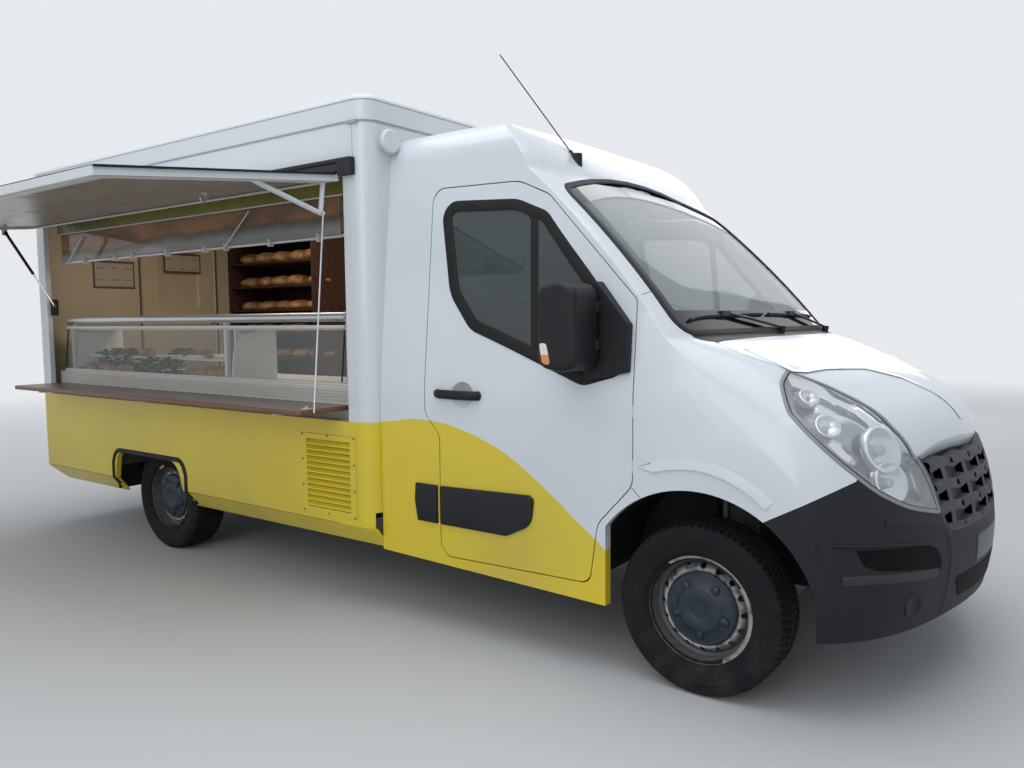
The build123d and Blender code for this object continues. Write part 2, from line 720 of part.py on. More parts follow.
def make_knuckle():
    """Left steering knuckle: upright, stub axle with its flange, and the brake disc."""
    face = WHEEL_CENTRE_Y + HUB_FACE - FIT_GAP
    upright = bar("z", 0, KINGPIN_Y, 262 + FIT_GAP, 430, 30)
    stub = bar("y", 0, TYRE_RADIUS, KINGPIN_Y - 10, face, 34)
    flange = bar("y", 0, TYRE_RADIUS, face - 12, face, HUB_RADIUS)
    disc = bar("y", 0, TYRE_RADIUS, face - 12 - DISC_THICKNESS, face - 12, DISC_RADIUS)
    caliper = block(90, 160, face - 12 - DISC_THICKNESS - 30, face - 2, 290, 400) - bar(
        "y", 0, TYRE_RADIUS, face - 80, face + 10, 96
    )
    return upright + stub + flange + disc + caliper


def make_rear_axle():
    """Rear axle tube with hubs and drums on two leaf springs below the rails."""
    face = WHEEL_CENTRE_Y + HUB_FACE - FIT_GAP
    tube = bar("y", -WHEELBASE, TYRE_RADIUS, -face + 5, face - 5, 42)
    hub = bar("y", -WHEELBASE, TYRE_RADIUS, face - 14, face, HUB_RADIUS)
    drum = bar("y", -WHEELBASE, TYRE_RADIUS, face - 90, face - 14, 132)
    spring_x = (-WHEELBASE - 620, -WHEELBASE + 620)
    arc = ThreePointArc((spring_x[0], RAIL_Y - 30, 365), (-WHEELBASE, RAIL_Y - 30, 290),
        (spring_x[1], RAIL_Y - 30, 365))
    line = Line(arc @ 1, (spring_x[1], RAIL_Y - 30, 345))
    low = ThreePointArc(line @ 1, (-WHEELBASE, RAIL_Y - 30, 262), (spring_x[0], RAIL_Y - 30, 345))
    close = Line(low @ 1, arc @ 0)
    leaf = extrude(make_face([arc.edge(), line.edge(), low.edge(), close.edge()]), amount=60, dir=(0, 1, 0))
    shackles = None
    for x in spring_x:
        piece = block(x - 20, x + 20, RAIL_Y - 30, RAIL_Y + 30, 346, RAIL_LOW_Z)
        shackles = piece if shackles is None else shackles + piece
    clamp = block(-WHEELBASE - 50, -WHEELBASE + 50, RAIL_Y - 34, RAIL_Y + 34, 255, 385)
    return tube + both_sides(hub + drum + leaf + shackles + clamp)


def make_cab_floor():
    """Cab floor pan, firewall and front plate; the wheel arch liners are a piece of their own."""
    low = CAB_FLOOR_Z - CAB_FLOOR_THICKNESS
    inside = cab_form(CAB_WALL + SEAM, 200)
    pan = block(CAB_REAR_X, FIREWALL_X, -FLOOR_HALF_WIDTH, FLOOR_HALF_WIDTH, low, CAB_FLOOR_Z)
    clear = bar("y", FRONT_ARCH_X, FRONT_ARCH_Z, LINER_Y - 1, CAB_HALF_WIDTH, FRONT_ARCH_RADIUS + 16)
    firewall = block(FIREWALL_X, FIREWALL_X + 30, -FLOOR_HALF_WIDTH, FLOOR_HALF_WIDTH, low, FIREWALL_TOP_Z)
    scuttle = block(FIREWALL_X - 200, FIREWALL_X + 70, -FLOOR_HALF_WIDTH, FLOOR_HALF_WIDTH, FIREWALL_TOP_Z,
        FIREWALL_TOP_Z + 20)
    sill = both_sides(block(-1640, -440, CAB_HALF_WIDTH - 150, FLOOR_HALF_WIDTH, 380, low))
    tower_room = block(-95, 95, RAIL_Y + 20, STRUT_Y + 90, 300, 830)
    return ((pan + firewall + scuttle + sill) & inside) - both_sides(clear + tower_room)


def make_liners():
    """Arch liners over the front wheels, shut off on the inner side above the frame."""
    outer = bar("y", FRONT_ARCH_X, FRONT_ARCH_Z, LINER_Y, FLOOR_HALF_WIDTH, FRONT_ARCH_RADIUS + 4 + LINER_SHEET)
    inner = bar("y", FRONT_ARCH_X, FRONT_ARCH_Z, LINER_Y + LINER_SHEET, FLOOR_HALF_WIDTH + 10,
        FRONT_ARCH_RADIUS + 4)
    liner = (outer - inner) & block(-600, 600, LINER_Y - 10, CAB_HALF_WIDTH, TYRE_RADIUS + 40, 1000)
    notch = block(-95, 95, RAIL_Y, STRUT_Y + 90, RAIL_LOW_Z, 822)
    return both_sides((liner & cab_form(CAB_WALL + SEAM, 200)) - notch)


def make_seats():
    """Driver's seat and the double passenger seat on their boxes."""
    seats = None
    for y, width, places in SEATS:
        low, high = y - width / 2, y + width / 2
        base = block(SEAT_REAR_X, SEAT_FRONT_X - 40, low + 30, high - 30, CAB_FLOOR_Z, 885)
        cushion = prism("y", ((SEAT_REAR_X, 860), (SEAT_FRONT_X, 880), (SEAT_FRONT_X, 990),
            (SEAT_REAR_X, 960)), low, high, 30)
        back = prism("y", ((-1090, 930), (-1000, 960), (-1180, 1590), (-1270, 1570)), low, high, 30)
        seat = base + cushion + back
        for i in range(places):
            centre = low + (i + 0.5) * width / places
            seat += prism("y", ((-1275, 1600), (-1195, 1610), (-1225, 1800), (-1300, 1790)), centre - 130,
                centre + 130, 25)
            seat += block(-1235, -1215, centre - 60, centre + 60, 1540, 1640)
        seats = seat if seats is None else seats + seat
    return seats


def make_dashboard():
    """Dashboard moulding across the cab with a binnacle and the steering column."""
    top = FIREWALL_TOP_Z - SEAM
    outline = ((-90, 900), (-90, top), (-250, top), (-420, 1240), (-470, 1120), (-380, 900))
    dash = prism("y", outline, -FLOOR_HALF_WIDTH + 20, FLOOR_HALF_WIDTH - 20, [0, 0, 40, 60, 60, 0])
    hood = prism("y", ((-250, 1280), (-430, 1225), (-430, 1300), (-330, 1330)), 330, 640, 15)
    column = Pos(*STEERING_HUB) * Rot(0, STEERING_TILT, 0) * Pos(0, 0,
        30 + FIT_GAP + COLUMN_LENGTH / 2) * Cylinder(30, COLUMN_LENGTH)
    side = both_sides(block(-300, -100, FLOOR_HALF_WIDTH - 22, FLOOR_HALF_WIDTH - 14, 950, 1250))
    return ((dash + hood + column + side) & cab_form(CAB_WALL + SEAM, 200))


def make_steering_wheel():
    """Steering wheel rim, hub and four spokes, across its tilted column."""
    rim = Torus(STEERING_RADIUS - 15, 15)
    hub = Pos(0, 0, 8) * Cylinder(72, 44)
    spokes = None
    for angle in (10, 170, 235, 305):
        spoke = Rot(0, 0, angle + 90) * (Pos(STEERING_RADIUS / 2, 0, 2) * Box(STEERING_RADIUS - 30, 34, 16))
        spokes = spoke if spokes is None else spokes + spoke
    return Pos(*STEERING_HUB) * Rot(0, STEERING_TILT, 0) * (rim + hub + spokes)


def make_mirror():
    """Left door mirror: base plate in the window's front corner, arm and tall housing."""
    head = ((-388, 1280), (-388, 1595), (-470, 1624), (-568, 1600), (-568, 1285), (-470, 1266))
    housing = prism("y", head, 1065, MIRROR_OUTER_Y, 50)
    housing = fillet(housing.faces().sort_by(Axis.Y)[-1].edges(), 26)
    plate_form = ((-262, 1262), (-262, 1450), (-420, 1640), (-462, 1222))
    plate = prism("y", plate_form, CAB_HALF_WIDTH - 60, CAB_HALF_WIDTH + 12, 12)
    arm = block(-470, -380, CAB_HALF_WIDTH - 60, 1080, 1500, 1540)
    arm += block(-470, -380, CAB_HALF_WIDTH - 60, 1080, 1350, 1390)
    return (housing + arm + plate) - cab_form()


def make_box():
    """The box body's walls, floor and roof, each a panel of its own."""
    w, wall = BOX_HALF_WIDTH, BOX_WALL
    inner_w = w - wall
    low = BOX_FLOOR_Z - BOX_FLOOR_THICKNESS
    front, rear = BOX_FRONT_X, BOX_REAR_X
    pieces = {}

    floor = block(rear + wall, front - wall, -inner_w, inner_w, low, BOX_FLOOR_Z)
    arch_x = (-WHEELBASE - WHEEL_BOX_HALF, -WHEELBASE + WHEEL_BOX_HALF)
    housing = block(arch_x[0], arch_x[1], WHEEL_BOX_INNER_Y, inner_w, low, WHEEL_BOX_TOP_Z)
    hollow = block(arch_x[0] + 12, arch_x[1] - 12, WHEEL_BOX_INNER_Y + 12, w, low - 1, WHEEL_BOX_TOP_Z - 12)
    pieces["box_floor"] = floor + both_sides(housing) - both_sides(hollow)

    corner = BOX_CORNER_RADIUS
    plan = ((front, -w), (front, w), (rear, w), (rear, -w))
    ring_out = prism("z", plan, RAIL_Z, GUTTER_Z, [corner, corner, 30, 30])
    ring_in = block(rear + wall, front - wall, -inner_w, inner_w, RAIL_Z - 1, GUTTER_Z + 1)
    ring = ring_out - ring_in - block(rear - 10, front + 10, -inner_w, inner_w, RAIL_Z - 1, low)
    split_front = front - corner - 10
    split_rear = rear + 60
    front_part = block(split_front, front + 10, -w - 10, w + 10, RAIL_Z, GUTTER_Z)
    rear_part = block(rear - 10, split_rear, -w - 10, w + 10, RAIL_Z, GUTTER_Z)
    pieces["box_front_wall"] = ring & front_part
    back = ring & rear_part
    door_hole = block(rear - 10, rear + wall + 10, REAR_DOOR_RIGHT_Y, REAR_DOOR_LEFT_Y, BOX_FLOOR_Z,
        REAR_DOOR_TOP_Z)
    back -= door_hole
    for z in REAR_HINGES_Z:
        hinge_y = REAR_DOOR_LEFT_Y - HINGE_PIN_GAP
        back += hinge_pin(rear - 1, hinge_y, z - 40, z + 40, rear + 3, REAR_DOOR_LEFT_Y + 6)
    pieces["box_rear_wall"] = back
    sides = ring - front_part - rear_part
    arch = prism("y", (
        (-WHEELBASE - REAR_ARCH_HALF, RAIL_Z - 60), (-WHEELBASE - REAR_ARCH_HALF + 40, REAR_ARCH_TOP_Z),
        (-WHEELBASE + REAR_ARCH_HALF - 90, REAR_ARCH_TOP_Z), (-WHEELBASE + REAR_ARCH_HALF, RAIL_Z - 60),
    ), -w - 10, w + 10, [0, REAR_ARCH_RADIUS, REAR_ARCH_RADIUS * 1.6, 0])
    left = (sides & block(rear, front, 0, w + 10, RAIL_Z, GUTTER_Z)) - arch
    pieces["box_left_wall"] = left
    right = (sides & block(rear, front, -w - 10, 0, RAIL_Z, GUTTER_Z)) - arch
    right -= block(HATCH_REAR_X, HATCH_FRONT_X, -w - 10, -inner_w + 10, YELLOW_Z, HATCH_TOP_Z)
    right -= block(LOUVRE_REAR_X, LOUVRE_FRONT_X, -w - 10, -inner_w + 10, LOUVRE_BOTTOM_Z, LOUVRE_TOP_Z)
    pieces["box_right_wall"] = right

    cap = prism("z", plan, GUTTER_Z, ROOF_TOP_Z, [corner, corner, 30, 30])
    rim = cap.faces().sort_by(Axis.Z)[-1].edges()
    cap = fillet(rim, ROOF_EDGE_RADIUS)
    pieces["box_roof"] = cap - block(rear + wall, front - wall, -inner_w, inner_w, GUTTER_Z - 1,
        ROOF_TOP_Z - wall)

    tuck = ((w - 2, RAIL_Z), (w - SKIRT_TUCK, SKIRT_Z), (w - SKIRT_TUCK - SKIRT_SHEET, SKIRT_Z),
        (w - 6 - SKIRT_SHEET, RAIL_Z))
    skirt = prism("x", tuck, rear + 10, front - SEAM) - arch
    skirt -= prism("y", ((rear, RAIL_Z - 12), (rear, SKIRT_Z - 20), (rear + 190, SKIRT_Z - 20)), 900, w + 10)
    skirt -= block(-WHEELBASE - REAR_ARCH_HALF, -WHEELBASE + REAR_ARCH_HALF, 900, w + 10, SKIRT_Z - 10,
        RAIL_Z + 10)
    pieces["box_skirts"] = both_sides(skirt)
    return pieces


def make_louvre():
    """Louvre panel: a frame with sloping slats, set into the wall."""
    y0, y1 = -BOX_HALF_WIDTH - 4, -BOX_HALF_WIDTH + BOX_WALL
    g = SEAM
    x0, x1 = LOUVRE_REAR_X + g, LOUVRE_FRONT_X - g
    z0, z1 = LOUVRE_BOTTOM_Z + g, LOUVRE_TOP_Z - g
    frame = block(x0, x1, y0, y1, z0, z1) - block(x0 + 40, x1 - 40, y0 - 1, y1 + 1, z0 + 28, z1 - 28)
    pitch = (z1 - z0 - 62) / LOUVRE_SLATS
    for i in range(LOUVRE_SLATS):
        z = z0 + 31 + i * pitch
        slat = prism("x", ((y0 + 2, z), (y0 + 2, z + 8), (y0 + 24, z + pitch * 0.95),
            (y0 + 24, z + pitch * 0.95 - 8)), x0 + 30, x1 - 30)
        frame += slat
    return frame


def open_flap(shape):
    """Turns a piece drawn for the level flap down to its place as the photo shows it."""
    return Pos(0, HINGE_Y, HINGE_Z) * Rot(FLAP_BELOW_LEVEL, 0, 0) * shape


def make_flap():
    """Hatch flap, level and reaching out from its hinge at the origin, with the tube bracket below its front
    end."""
    thick = FLAP_THICKNESS
    leaf = block(FLAP_REAR_X, FLAP_FRONT_X, -FLAP_LENGTH, -5, -thick, 0)
    recess = block(FLAP_REAR_X + 45, FLAP_FRONT_X - 45, -FLAP_LENGTH + 45, -40, -thick - 1, -thick + 8)
    leaf -= recess
    knuckle = bar("x", 0, 0, FLAP_REAR_X + 20, FLAP_FRONT_X - 20, 4) + block(FLAP_REAR_X + 20,
        FLAP_FRONT_X - 20, -8, 0, -4, 2)
    apex = (BRACKET_X, -BRACKET_APEX, -thick - BRACKET_DROP)
    near = (BRACKET_X, -BRACKET_NEAR, -thick + 10)
    far = (BRACKET_X, -BRACKET_FAR, -thick + 10)
    bracket = tube_between(near, apex, BRACKET_TUBE) + tube_between(far, apex,
        BRACKET_TUBE) + Pos(*apex) * Sphere(BRACKET_TUBE)
    bracket += bar("x", -BRACKET_APEX, apex[2], BRACKET_X, HATCH_ROD_X + 7, HATCH_ROD_RADIUS)
    pad = block(BRACKET_X - 20, BRACKET_X + 20, -BRACKET_FAR - 40, -BRACKET_NEAR + 25, -thick - 4, -thick + 8)
    ear_y, ear_z = -STRUT_FLAP_REACH, -thick - STRUT_FLAP_DROP
    ear = block(STRUT_X - 22, STRUT_X - 16, ear_y - 18, ear_y + 18, ear_z - 12, -thick + 4)
    stud = bar("x", ear_y, ear_z, STRUT_X - 22, STRUT_X - 6 - SEAM, 4)
    return open_flap(leaf + knuckle + bracket + pad + ear + stud)


def rod_top():
    """The bracket's lower corner at rest, where the hatch rod hangs."""
    turn = math.radians(FLAP_BELOW_LEVEL)
    y, z = -BRACKET_APEX, -FLAP_THICKNESS - BRACKET_DROP
    return (HINGE_Y + y * math.cos(turn) - z * math.sin(turn),
        HINGE_Z + y * math.sin(turn) + z * math.cos(turn))


def flap_pin():
    """The strut's pin on the flap at rest."""
    turn = math.radians(FLAP_BELOW_LEVEL)
    y, z = -STRUT_FLAP_REACH, -FLAP_THICKNESS - STRUT_FLAP_DROP
    return (HINGE_Y + y * math.cos(turn) - z * math.sin(turn),
        HINGE_Z + y * math.sin(turn) + z * math.cos(turn))


def make_hatch_rod():
    """The thin rod that hangs from the bracket down to the shelf's end."""
    y, z = rod_top()
    lean = math.radians(HATCH_ROD_LEAN)
    foot = (HATCH_ROD_X, y - HATCH_ROD_LENGTH * math.sin(lean), z - HATCH_ROD_LENGTH * math.cos(lean))
    top = (HATCH_ROD_X, y - 6 * math.sin(lean), z - 6 * math.cos(lean))
    rod = tube_between(top, foot, HATCH_ROD_RADIUS) + Pos(*foot) * Sphere(HATCH_ROD_RADIUS + 2)
    rod += bar("x", y, z, HATCH_ROD_X - 4, HATCH_ROD_X + 4, HATCH_ROD_RADIUS + 6)
    return rod - bar("x", y, z, HATCH_ROD_X - 9, HATCH_ROD_X + 9, HATCH_ROD_RADIUS + FIT_GAP)


def strut_line():
    """Post pin, direction to the flap pin and distance between them, in the strut's plane."""
    pin_y, pin_z = flap_pin()
    run_y, run_z = pin_y - STRUT_POST_Y, pin_z - STRUT_POST_Z
    length = math.hypot(run_y, run_z)
    return run_y / length, run_z / length, length


def make_strut():
    """Gas strut: the thick tube hangs from the flap's pin, the thin rod slides in it down to the post's pin."""
    dy, dz, length = strut_line()

    def along(distance):
        return (STRUT_X, STRUT_POST_Y + dy * distance, STRUT_POST_Z + dz * distance)

    eye = bar("x", STRUT_POST_Y, STRUT_POST_Z, STRUT_X - 6, STRUT_X + 6, 9)
    rod = tube_between(along(7), along(STRUT_ROD_LENGTH), STRUT_ROD_RADIUS) + eye
    rod -= bar("x", STRUT_POST_Y, STRUT_POST_Z, STRUT_X - 7, STRUT_X + 7, 4 + FIT_GAP)
    pin_y, pin_z = flap_pin()
    tube = tube_between(along(length - STRUT_TUBE_LENGTH), along(length - 8), STRUT_TUBE_RADIUS)
    tube += bar("x", pin_y, pin_z, STRUT_X - 6, STRUT_X + 6, 12)
    tube -= tube_between(along(length - STRUT_TUBE_LENGTH - 5), along(length - 16), STRUT_ROD_RADIUS + FIT_GAP)
    return rod, tube


def make_shelf():
    """Serving shelf, folded down level; its inner edge lies along the hinge pin."""
    inner = SHELF_HINGE_Y - SHELF_PIN_RADIUS - SHELF_PIN_GAP
    outer = inner - SHELF_DEPTH
    plan = ((SHELF_FRONT_X, outer), (SHELF_FRONT_X, inner), (SHELF_REAR_X, inner), (SHELF_REAR_X, outer))
    return prism("z", plan, SHELF_TOP_Z - SHELF_THICKNESS, SHELF_TOP_Z, [18, 0, 0, 18])


def make_hatch_frame():
    """What frames the hatch: strip over the hinge, ribbed sill profile behind the shelf, and the rear post's
    box."""
    w = BOX_HALF_WIDTH
    strip = block(HATCH_REAR_X - 40, -1712, -w - 6, -w - SEAM, HINGE_Z + 4.4, STRIP_TOP_Z)
    strip += block(FLAP_FRONT_X + 5, -1712, -w - STRIP_DEPTH, -w - SEAM, HATCH_TOP_Z - 8, STRIP_TOP_Z)
    strip += block(HATCH_REAR_X - 40, -1712, -w - STRIP_DEPTH, -w - SEAM, STRIP_TOP_Z - 16, STRIP_TOP_Z)
    strip += block(FLAP_REAR_X + 20, FLAP_FRONT_X - 20, HINGE_Y - 4, -w - SEAM, HINGE_Z + 4.4, HINGE_Z + 9)
    sill_front, sill_rear = HATCH_FRONT_X - SEAM, HATCH_REAR_X + SEAM
    face = SHELF_HINGE_Y + 6
    sill = block(sill_rear, SHELF_FRONT_X, face, face + 22, YELLOW_Z - 2, 1132)
    for i in range(4):
        z = SHELF_TOP_Z + 18 + i * 16
        sill += block(sill_rear, SHELF_FRONT_X, face - 4, face + 1, z, z + 7)
    pin_ends = (SHELF_REAR_X + 20, SHELF_FRONT_X - 20)
    sill += bar("x", SHELF_HINGE_Y, SHELF_TOP_Z, *pin_ends, SHELF_PIN_RADIUS)
    sill += block(*pin_ends, SHELF_HINGE_Y, face + 1, SHELF_TOP_Z - 2, SHELF_TOP_Z + 2)
    foot = block(sill_rear, sill_front, -BOX_HALF_WIDTH + BOX_WALL + SEAM, face + 4, YELLOW_Z - 40,
        YELLOW_Z - 2)
    box = block(HATCH_REAR_X + SEAM, STRUT_X - 14, STRUT_POST_Y - 10, -w + 70, STRUT_POST_Z - 70,
        STRUT_POST_Z + 45)
    stud = bar("x", STRUT_POST_Y, STRUT_POST_Z, STRUT_X - 16, STRUT_X - 6 - SEAM, 4)
    return strip + sill + foot + box + stud


def make_counter():
    """Display counter: carcass with its deck, end panels, round top rail and the white partition."""
    x0, x1 = COUNTER_REAR_X, COUNTER_FRONT_X
    face, back = COUNTER_FACE_Y, COUNTER_BACK_Y
    front = block(x0, x1, face, face + 20, WHEEL_BOX_TOP_Z + 12, COUNTER_DECK_Z)
    deck = block(x0, x1, face, back, COUNTER_DECK_Z - 25, COUNTER_DECK_Z)
    ends = None
    for a, b in ((x0, x0 + 20), (x1 - 20, x1), (-3160, -3140)):
        end = block(a, b, face, back, BOX_FLOOR_Z, COUNTER_DECK_Z)
        ends = end if ends is None else ends + end
    back_panel = block(x0, x1, back - 18, back, BOX_FLOOR_Z, COUNTER_DECK_Z)
    rail = bar("x", face + 22, COUNTER_RAIL_Z, x0, x1, COUNTER_RAIL_RADIUS)
    posts = None
    for x in (x0, -3010, x1 - 24):
        post = block(x, x + 24, face + 34, face + 58, COUNTER_DECK_Z, COUNTER_RAIL_Z)
        posts = post if posts is None else posts + post
    top = block(x0, x1, face + 60, -640, 1432, 1446)
    hold = block(x0, x1, face + 32, face + 62, 1428, 1446)
    partition = prism("x", ((face + 70, COUNTER_DECK_Z), (-640, COUNTER_DECK_Z), (-640, 1432),
        (face + 70, 1432)), -2960, -2948)
    shelf = block(x0 + 24, -3010, face + 150, -620, 1230, 1242)
    bearer = block(x0 + 10, x0 + 24, face + 60, -600, 1160, 1432) + block(-3024, -3010, face + 60, -600,
        COUNTER_DECK_Z, 1432)
    end_wall = block(x1 - 24, x1, face + 54, -640, COUNTER_DECK_Z, 1440)
    return front + deck + ends + back_panel + rail + posts + top + hold + partition + shelf + bearer + end_wall


def make_display_glass():
    """Two sloping front panes of the counter, between the deck and the rail."""
    face = COUNTER_FACE_Y
    slope = ((face + 3, COUNTER_DECK_Z + FIT_GAP), (face + 28, 1440), (face + 34, 1440),
        (face + 9, COUNTER_DECK_Z + FIT_GAP))
    glass = None
    for a, b in ((COUNTER_REAR_X + 2, -2990), (-2980, COUNTER_FRONT_X - 2)):
        pane = prism("x", [(y - 3.3, z) for y, z in slope], a, b)
        glass = pane if glass is None else glass + pane
    return glass


def make_hanging_glass():
    """The pane hung behind the top of the hatch: glass, its lower rail with clips, and hangers to the wall."""
    x0, x1 = COUNTER_REAR_X, COUNTER_FRONT_X
    pane = block(x0, x1, PANE_Y, PANE_Y + 6, PANE_BOTTOM_Z, PANE_TOP_Z)
    rail = bar("x", PANE_Y + 3, PANE_BOTTOM_Z, x0 - 10, x1 + 10, 9)
    head = block(x0, x1, PANE_Y - 12, PANE_Y + 18, PANE_TOP_Z, HATCH_TOP_Z + 10)
    head += block(x0, x1, -BOX_HALF_WIDTH + BOX_WALL + SEAM, PANE_Y + 18, HATCH_TOP_Z + 10, HATCH_TOP_Z + 30)
    return pane + rail + head


def make_rack():
    """Bread rack against the left wall behind the rear wheel box: sides, back and shelves of slats."""
    wall_y = BOX_HALF_WIDTH - BOX_WALL - SEAM
    face = wall_y - RACK_DEPTH
    rack = block(RACK_REAR_X, RACK_FRONT_X, wall_y - 14, wall_y, WHEEL_BOX_TOP_Z + SEAM, RACK_TOP_Z)
    rack += block(RACK_REAR_X, RACK_REAR_X + 18, face, wall_y, BOX_FLOOR_Z, RACK_TOP_Z)
    rack += block(RACK_FRONT_X - 18, RACK_FRONT_X, face, wall_y, WHEEL_BOX_TOP_Z + SEAM, RACK_TOP_Z)
    for z in (WHEEL_BOX_TOP_Z + 20, RACK_TOP_Z - 18):
        rack += block(RACK_REAR_X, RACK_FRONT_X, face, wall_y, z, z + 18)
    for z in RACK_SHELVES_Z:
        for i in range(6):
            y = face + 20 + i * 95
            rack += block(RACK_REAR_X + 10, RACK_FRONT_X - 10, y, y + 60, z, z + 15)
    return rack


def make_fittings():
    """Roof vent, aerial, lamps, bumpers, wipers and the frames on the inner wall."""
    w = BOX_HALF_WIDTH
    pieces = {}
    vent = bar("x", VENT_Y, VENT_Z, BOX_FRONT_X, BOX_FRONT_X + 20, VENT_RADIUS - 20)
    dome = bar("x", VENT_Y, VENT_Z, BOX_FRONT_X + 20, BOX_FRONT_X + 48, VENT_RADIUS)
    dome = fillet(dome.edges(), 11)
    pieces["roof_vent"] = vent + dome
    base = Vector(*AERIAL_BASE)
    tip = Vector(*AERIAL_TIP)
    run = (tip - base).normalized()
    whip = tube_between(base, tip, 3) + tube_between(base - run * 30, base + run * 45, 9)
    foot = Pos(AERIAL_BASE[0] + 10, AERIAL_BASE[1], AERIAL_BASE[2] - 12) * Cylinder(26, 60)
    pieces["aerial"] = (whip + foot) - cab_form()
    lamp = block(BOX_REAR_X - 26, BOX_REAR_X - SEAM, w - 150, w - 60, 620, 980)
    pieces["rear_lamps"] = both_sides(fillet(lamp.edges().filter_by(Axis.X), 16))
    bumper = block(BOX_REAR_X + 12, FRAME_REAR_X - 2, -UNDERRUN_HALF, UNDERRUN_HALF, SKIRT_Z + 10, RAIL_Z - 12)
    bumper = fillet(bumper.edges().filter_by(Axis.Y), 12)
    arms = both_sides(block(FRAME_REAR_X - 10, FRAME_REAR_X, RAIL_Y - 30, RAIL_Y + 30, RAIL_LOW_Z + 2,
        RAIL_Z - 16))
    pieces["rear_bumper"] = bumper + arms
    door = block(
        BOX_REAR_X - 2, BOX_REAR_X + BOX_WALL, REAR_DOOR_RIGHT_Y + SHUT_GAP, REAR_DOOR_LEFT_Y - SHUT_GAP,
        BOX_FLOOR_Z + SHUT_GAP, REAR_DOOR_TOP_Z - SHUT_GAP,
    )
    window = block(BOX_REAR_X - 3, BOX_REAR_X + BOX_WALL + 1, -180, 180, 1600, 2050)
    pane = block(BOX_REAR_X + 12, BOX_REAR_X + 18, -181, 181, 1599, 2051)
    handle = block(BOX_REAR_X - HANDLE_REACH, BOX_REAR_X - HANDLE_REACH + 12, -290, -180, 1180, 1200)
    handle += block(BOX_REAR_X - HANDLE_REACH + 6, BOX_REAR_X, -290, -274, 1180, 1200)
    handle += block(BOX_REAR_X - HANDLE_REACH + 6, BOX_REAR_X, -196, -180, 1180, 1200)
    pieces["rear_door"] = (door - window) + pane + handle
    return pieces


def main():
    os.makedirs("parts", exist_ok=True)
    cab = make_cab()
    cab["arch_liners"] = make_liners()
    pieces = dict(cab)
    pieces.update(make_wheels())
    pieces["chassis_frame"] = make_chassis()
    pieces["engine_block"] = make_engine()
    pieces["fuel_tank"] = make_tank()
    pieces["exhaust"] = make_exhaust()
    pieces["front_suspension"] = make_front_suspension()
    pieces["knuckle_left"] = make_knuckle()
    pieces["knuckle_right"] = right_of(pieces["knuckle_left"])
    pieces["rear_axle"] = make_rear_axle()
    pieces["cab_floor"] = make_cab_floor()
    pieces["cab_seats"] = make_seats()
    pieces["dashboard"] = make_dashboard()
    pieces["steering_wheel"] = make_steering_wheel()
    pieces["mirror_left"] = make_mirror()
    pieces["mirror_right"] = right_of(pieces["mirror_left"])
    pieces.update(make_box())
    pieces["vent_louvre"] = make_louvre()
    pieces["hatch_flap"] = make_flap()
    pieces["hatch_rod"] = make_hatch_rod()
    pieces["strut_rod"], pieces["strut_tube"] = make_strut()
    pieces["serving_shelf"] = make_shelf()
    pieces["hatch_frame"] = make_hatch_frame()
    pieces["display_counter"] = make_counter()
    pieces["display_glass"] = make_display_glass()
    pieces["hanging_glass"] = make_hanging_glass()
    pieces["bread_rack"] = make_rack()
    pieces.update(make_fittings())
    for name, piece in pieces.items():
        solids = [ORIGIN_SHIFT * solid.fix() for solid in piece.solids()]
        shape = solids[0] if len(solids) == 1 else Compound(children=solids)
        # A STEP reader finds the lofted cab's edges on their faces anew more soundly than it takes them as
        # written.
        export_step(shape, f"parts/{name}.step", write_pcurves=name not in cab)


main()
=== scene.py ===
# %% [markdown]
# # A food truck in Blender
# The truck is a delivery van's cab with a low sales box behind it, white above and yellow below. The CAD
# model gives every panel, wheel and hinge its real size and place. This lesson dresses it: paint, glass,
# tyre tread, seams, rubber edges and what lies behind the counter. All lengths are metres.

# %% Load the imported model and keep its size
import json
import math
import random

import bmesh
import bpy
from mathutils import Matrix, Vector
from mathutils.bvhtree import BVHTree

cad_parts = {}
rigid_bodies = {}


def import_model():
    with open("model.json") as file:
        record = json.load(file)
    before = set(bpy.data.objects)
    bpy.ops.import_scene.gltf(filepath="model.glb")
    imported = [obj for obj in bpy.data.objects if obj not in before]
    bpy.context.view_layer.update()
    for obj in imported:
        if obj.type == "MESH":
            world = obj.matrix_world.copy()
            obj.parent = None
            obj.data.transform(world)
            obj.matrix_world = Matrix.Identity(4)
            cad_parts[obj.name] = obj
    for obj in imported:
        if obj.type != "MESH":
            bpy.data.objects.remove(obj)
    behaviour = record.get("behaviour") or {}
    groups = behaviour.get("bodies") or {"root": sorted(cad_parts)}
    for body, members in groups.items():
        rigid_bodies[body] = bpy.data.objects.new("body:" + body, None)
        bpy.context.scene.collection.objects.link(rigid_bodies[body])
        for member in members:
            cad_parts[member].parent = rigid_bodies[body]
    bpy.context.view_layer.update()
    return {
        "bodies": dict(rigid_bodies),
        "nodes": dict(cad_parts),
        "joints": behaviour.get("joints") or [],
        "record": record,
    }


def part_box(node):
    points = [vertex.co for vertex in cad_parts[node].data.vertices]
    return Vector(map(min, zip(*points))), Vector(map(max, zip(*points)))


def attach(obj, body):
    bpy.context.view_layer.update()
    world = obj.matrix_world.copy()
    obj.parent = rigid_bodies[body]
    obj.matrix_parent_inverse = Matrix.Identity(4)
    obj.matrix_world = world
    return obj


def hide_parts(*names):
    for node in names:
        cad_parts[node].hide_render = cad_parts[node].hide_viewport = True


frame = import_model()
NODES = frame["nodes"]
BODY_OF = {node: body for body, nodes in frame["record"]["behaviour"]["bodies"].items() for node in nodes}

# %% [markdown]
# A van is measured from its front axle. So pieces are drawn in vehicle coordinates, x forward from the
# front axle, y to the left of the centre line, z up from the ground, and moved by SHIFT at the end. SHIFT
# is read from the front tyres, so it can't drift away from the CAD model.

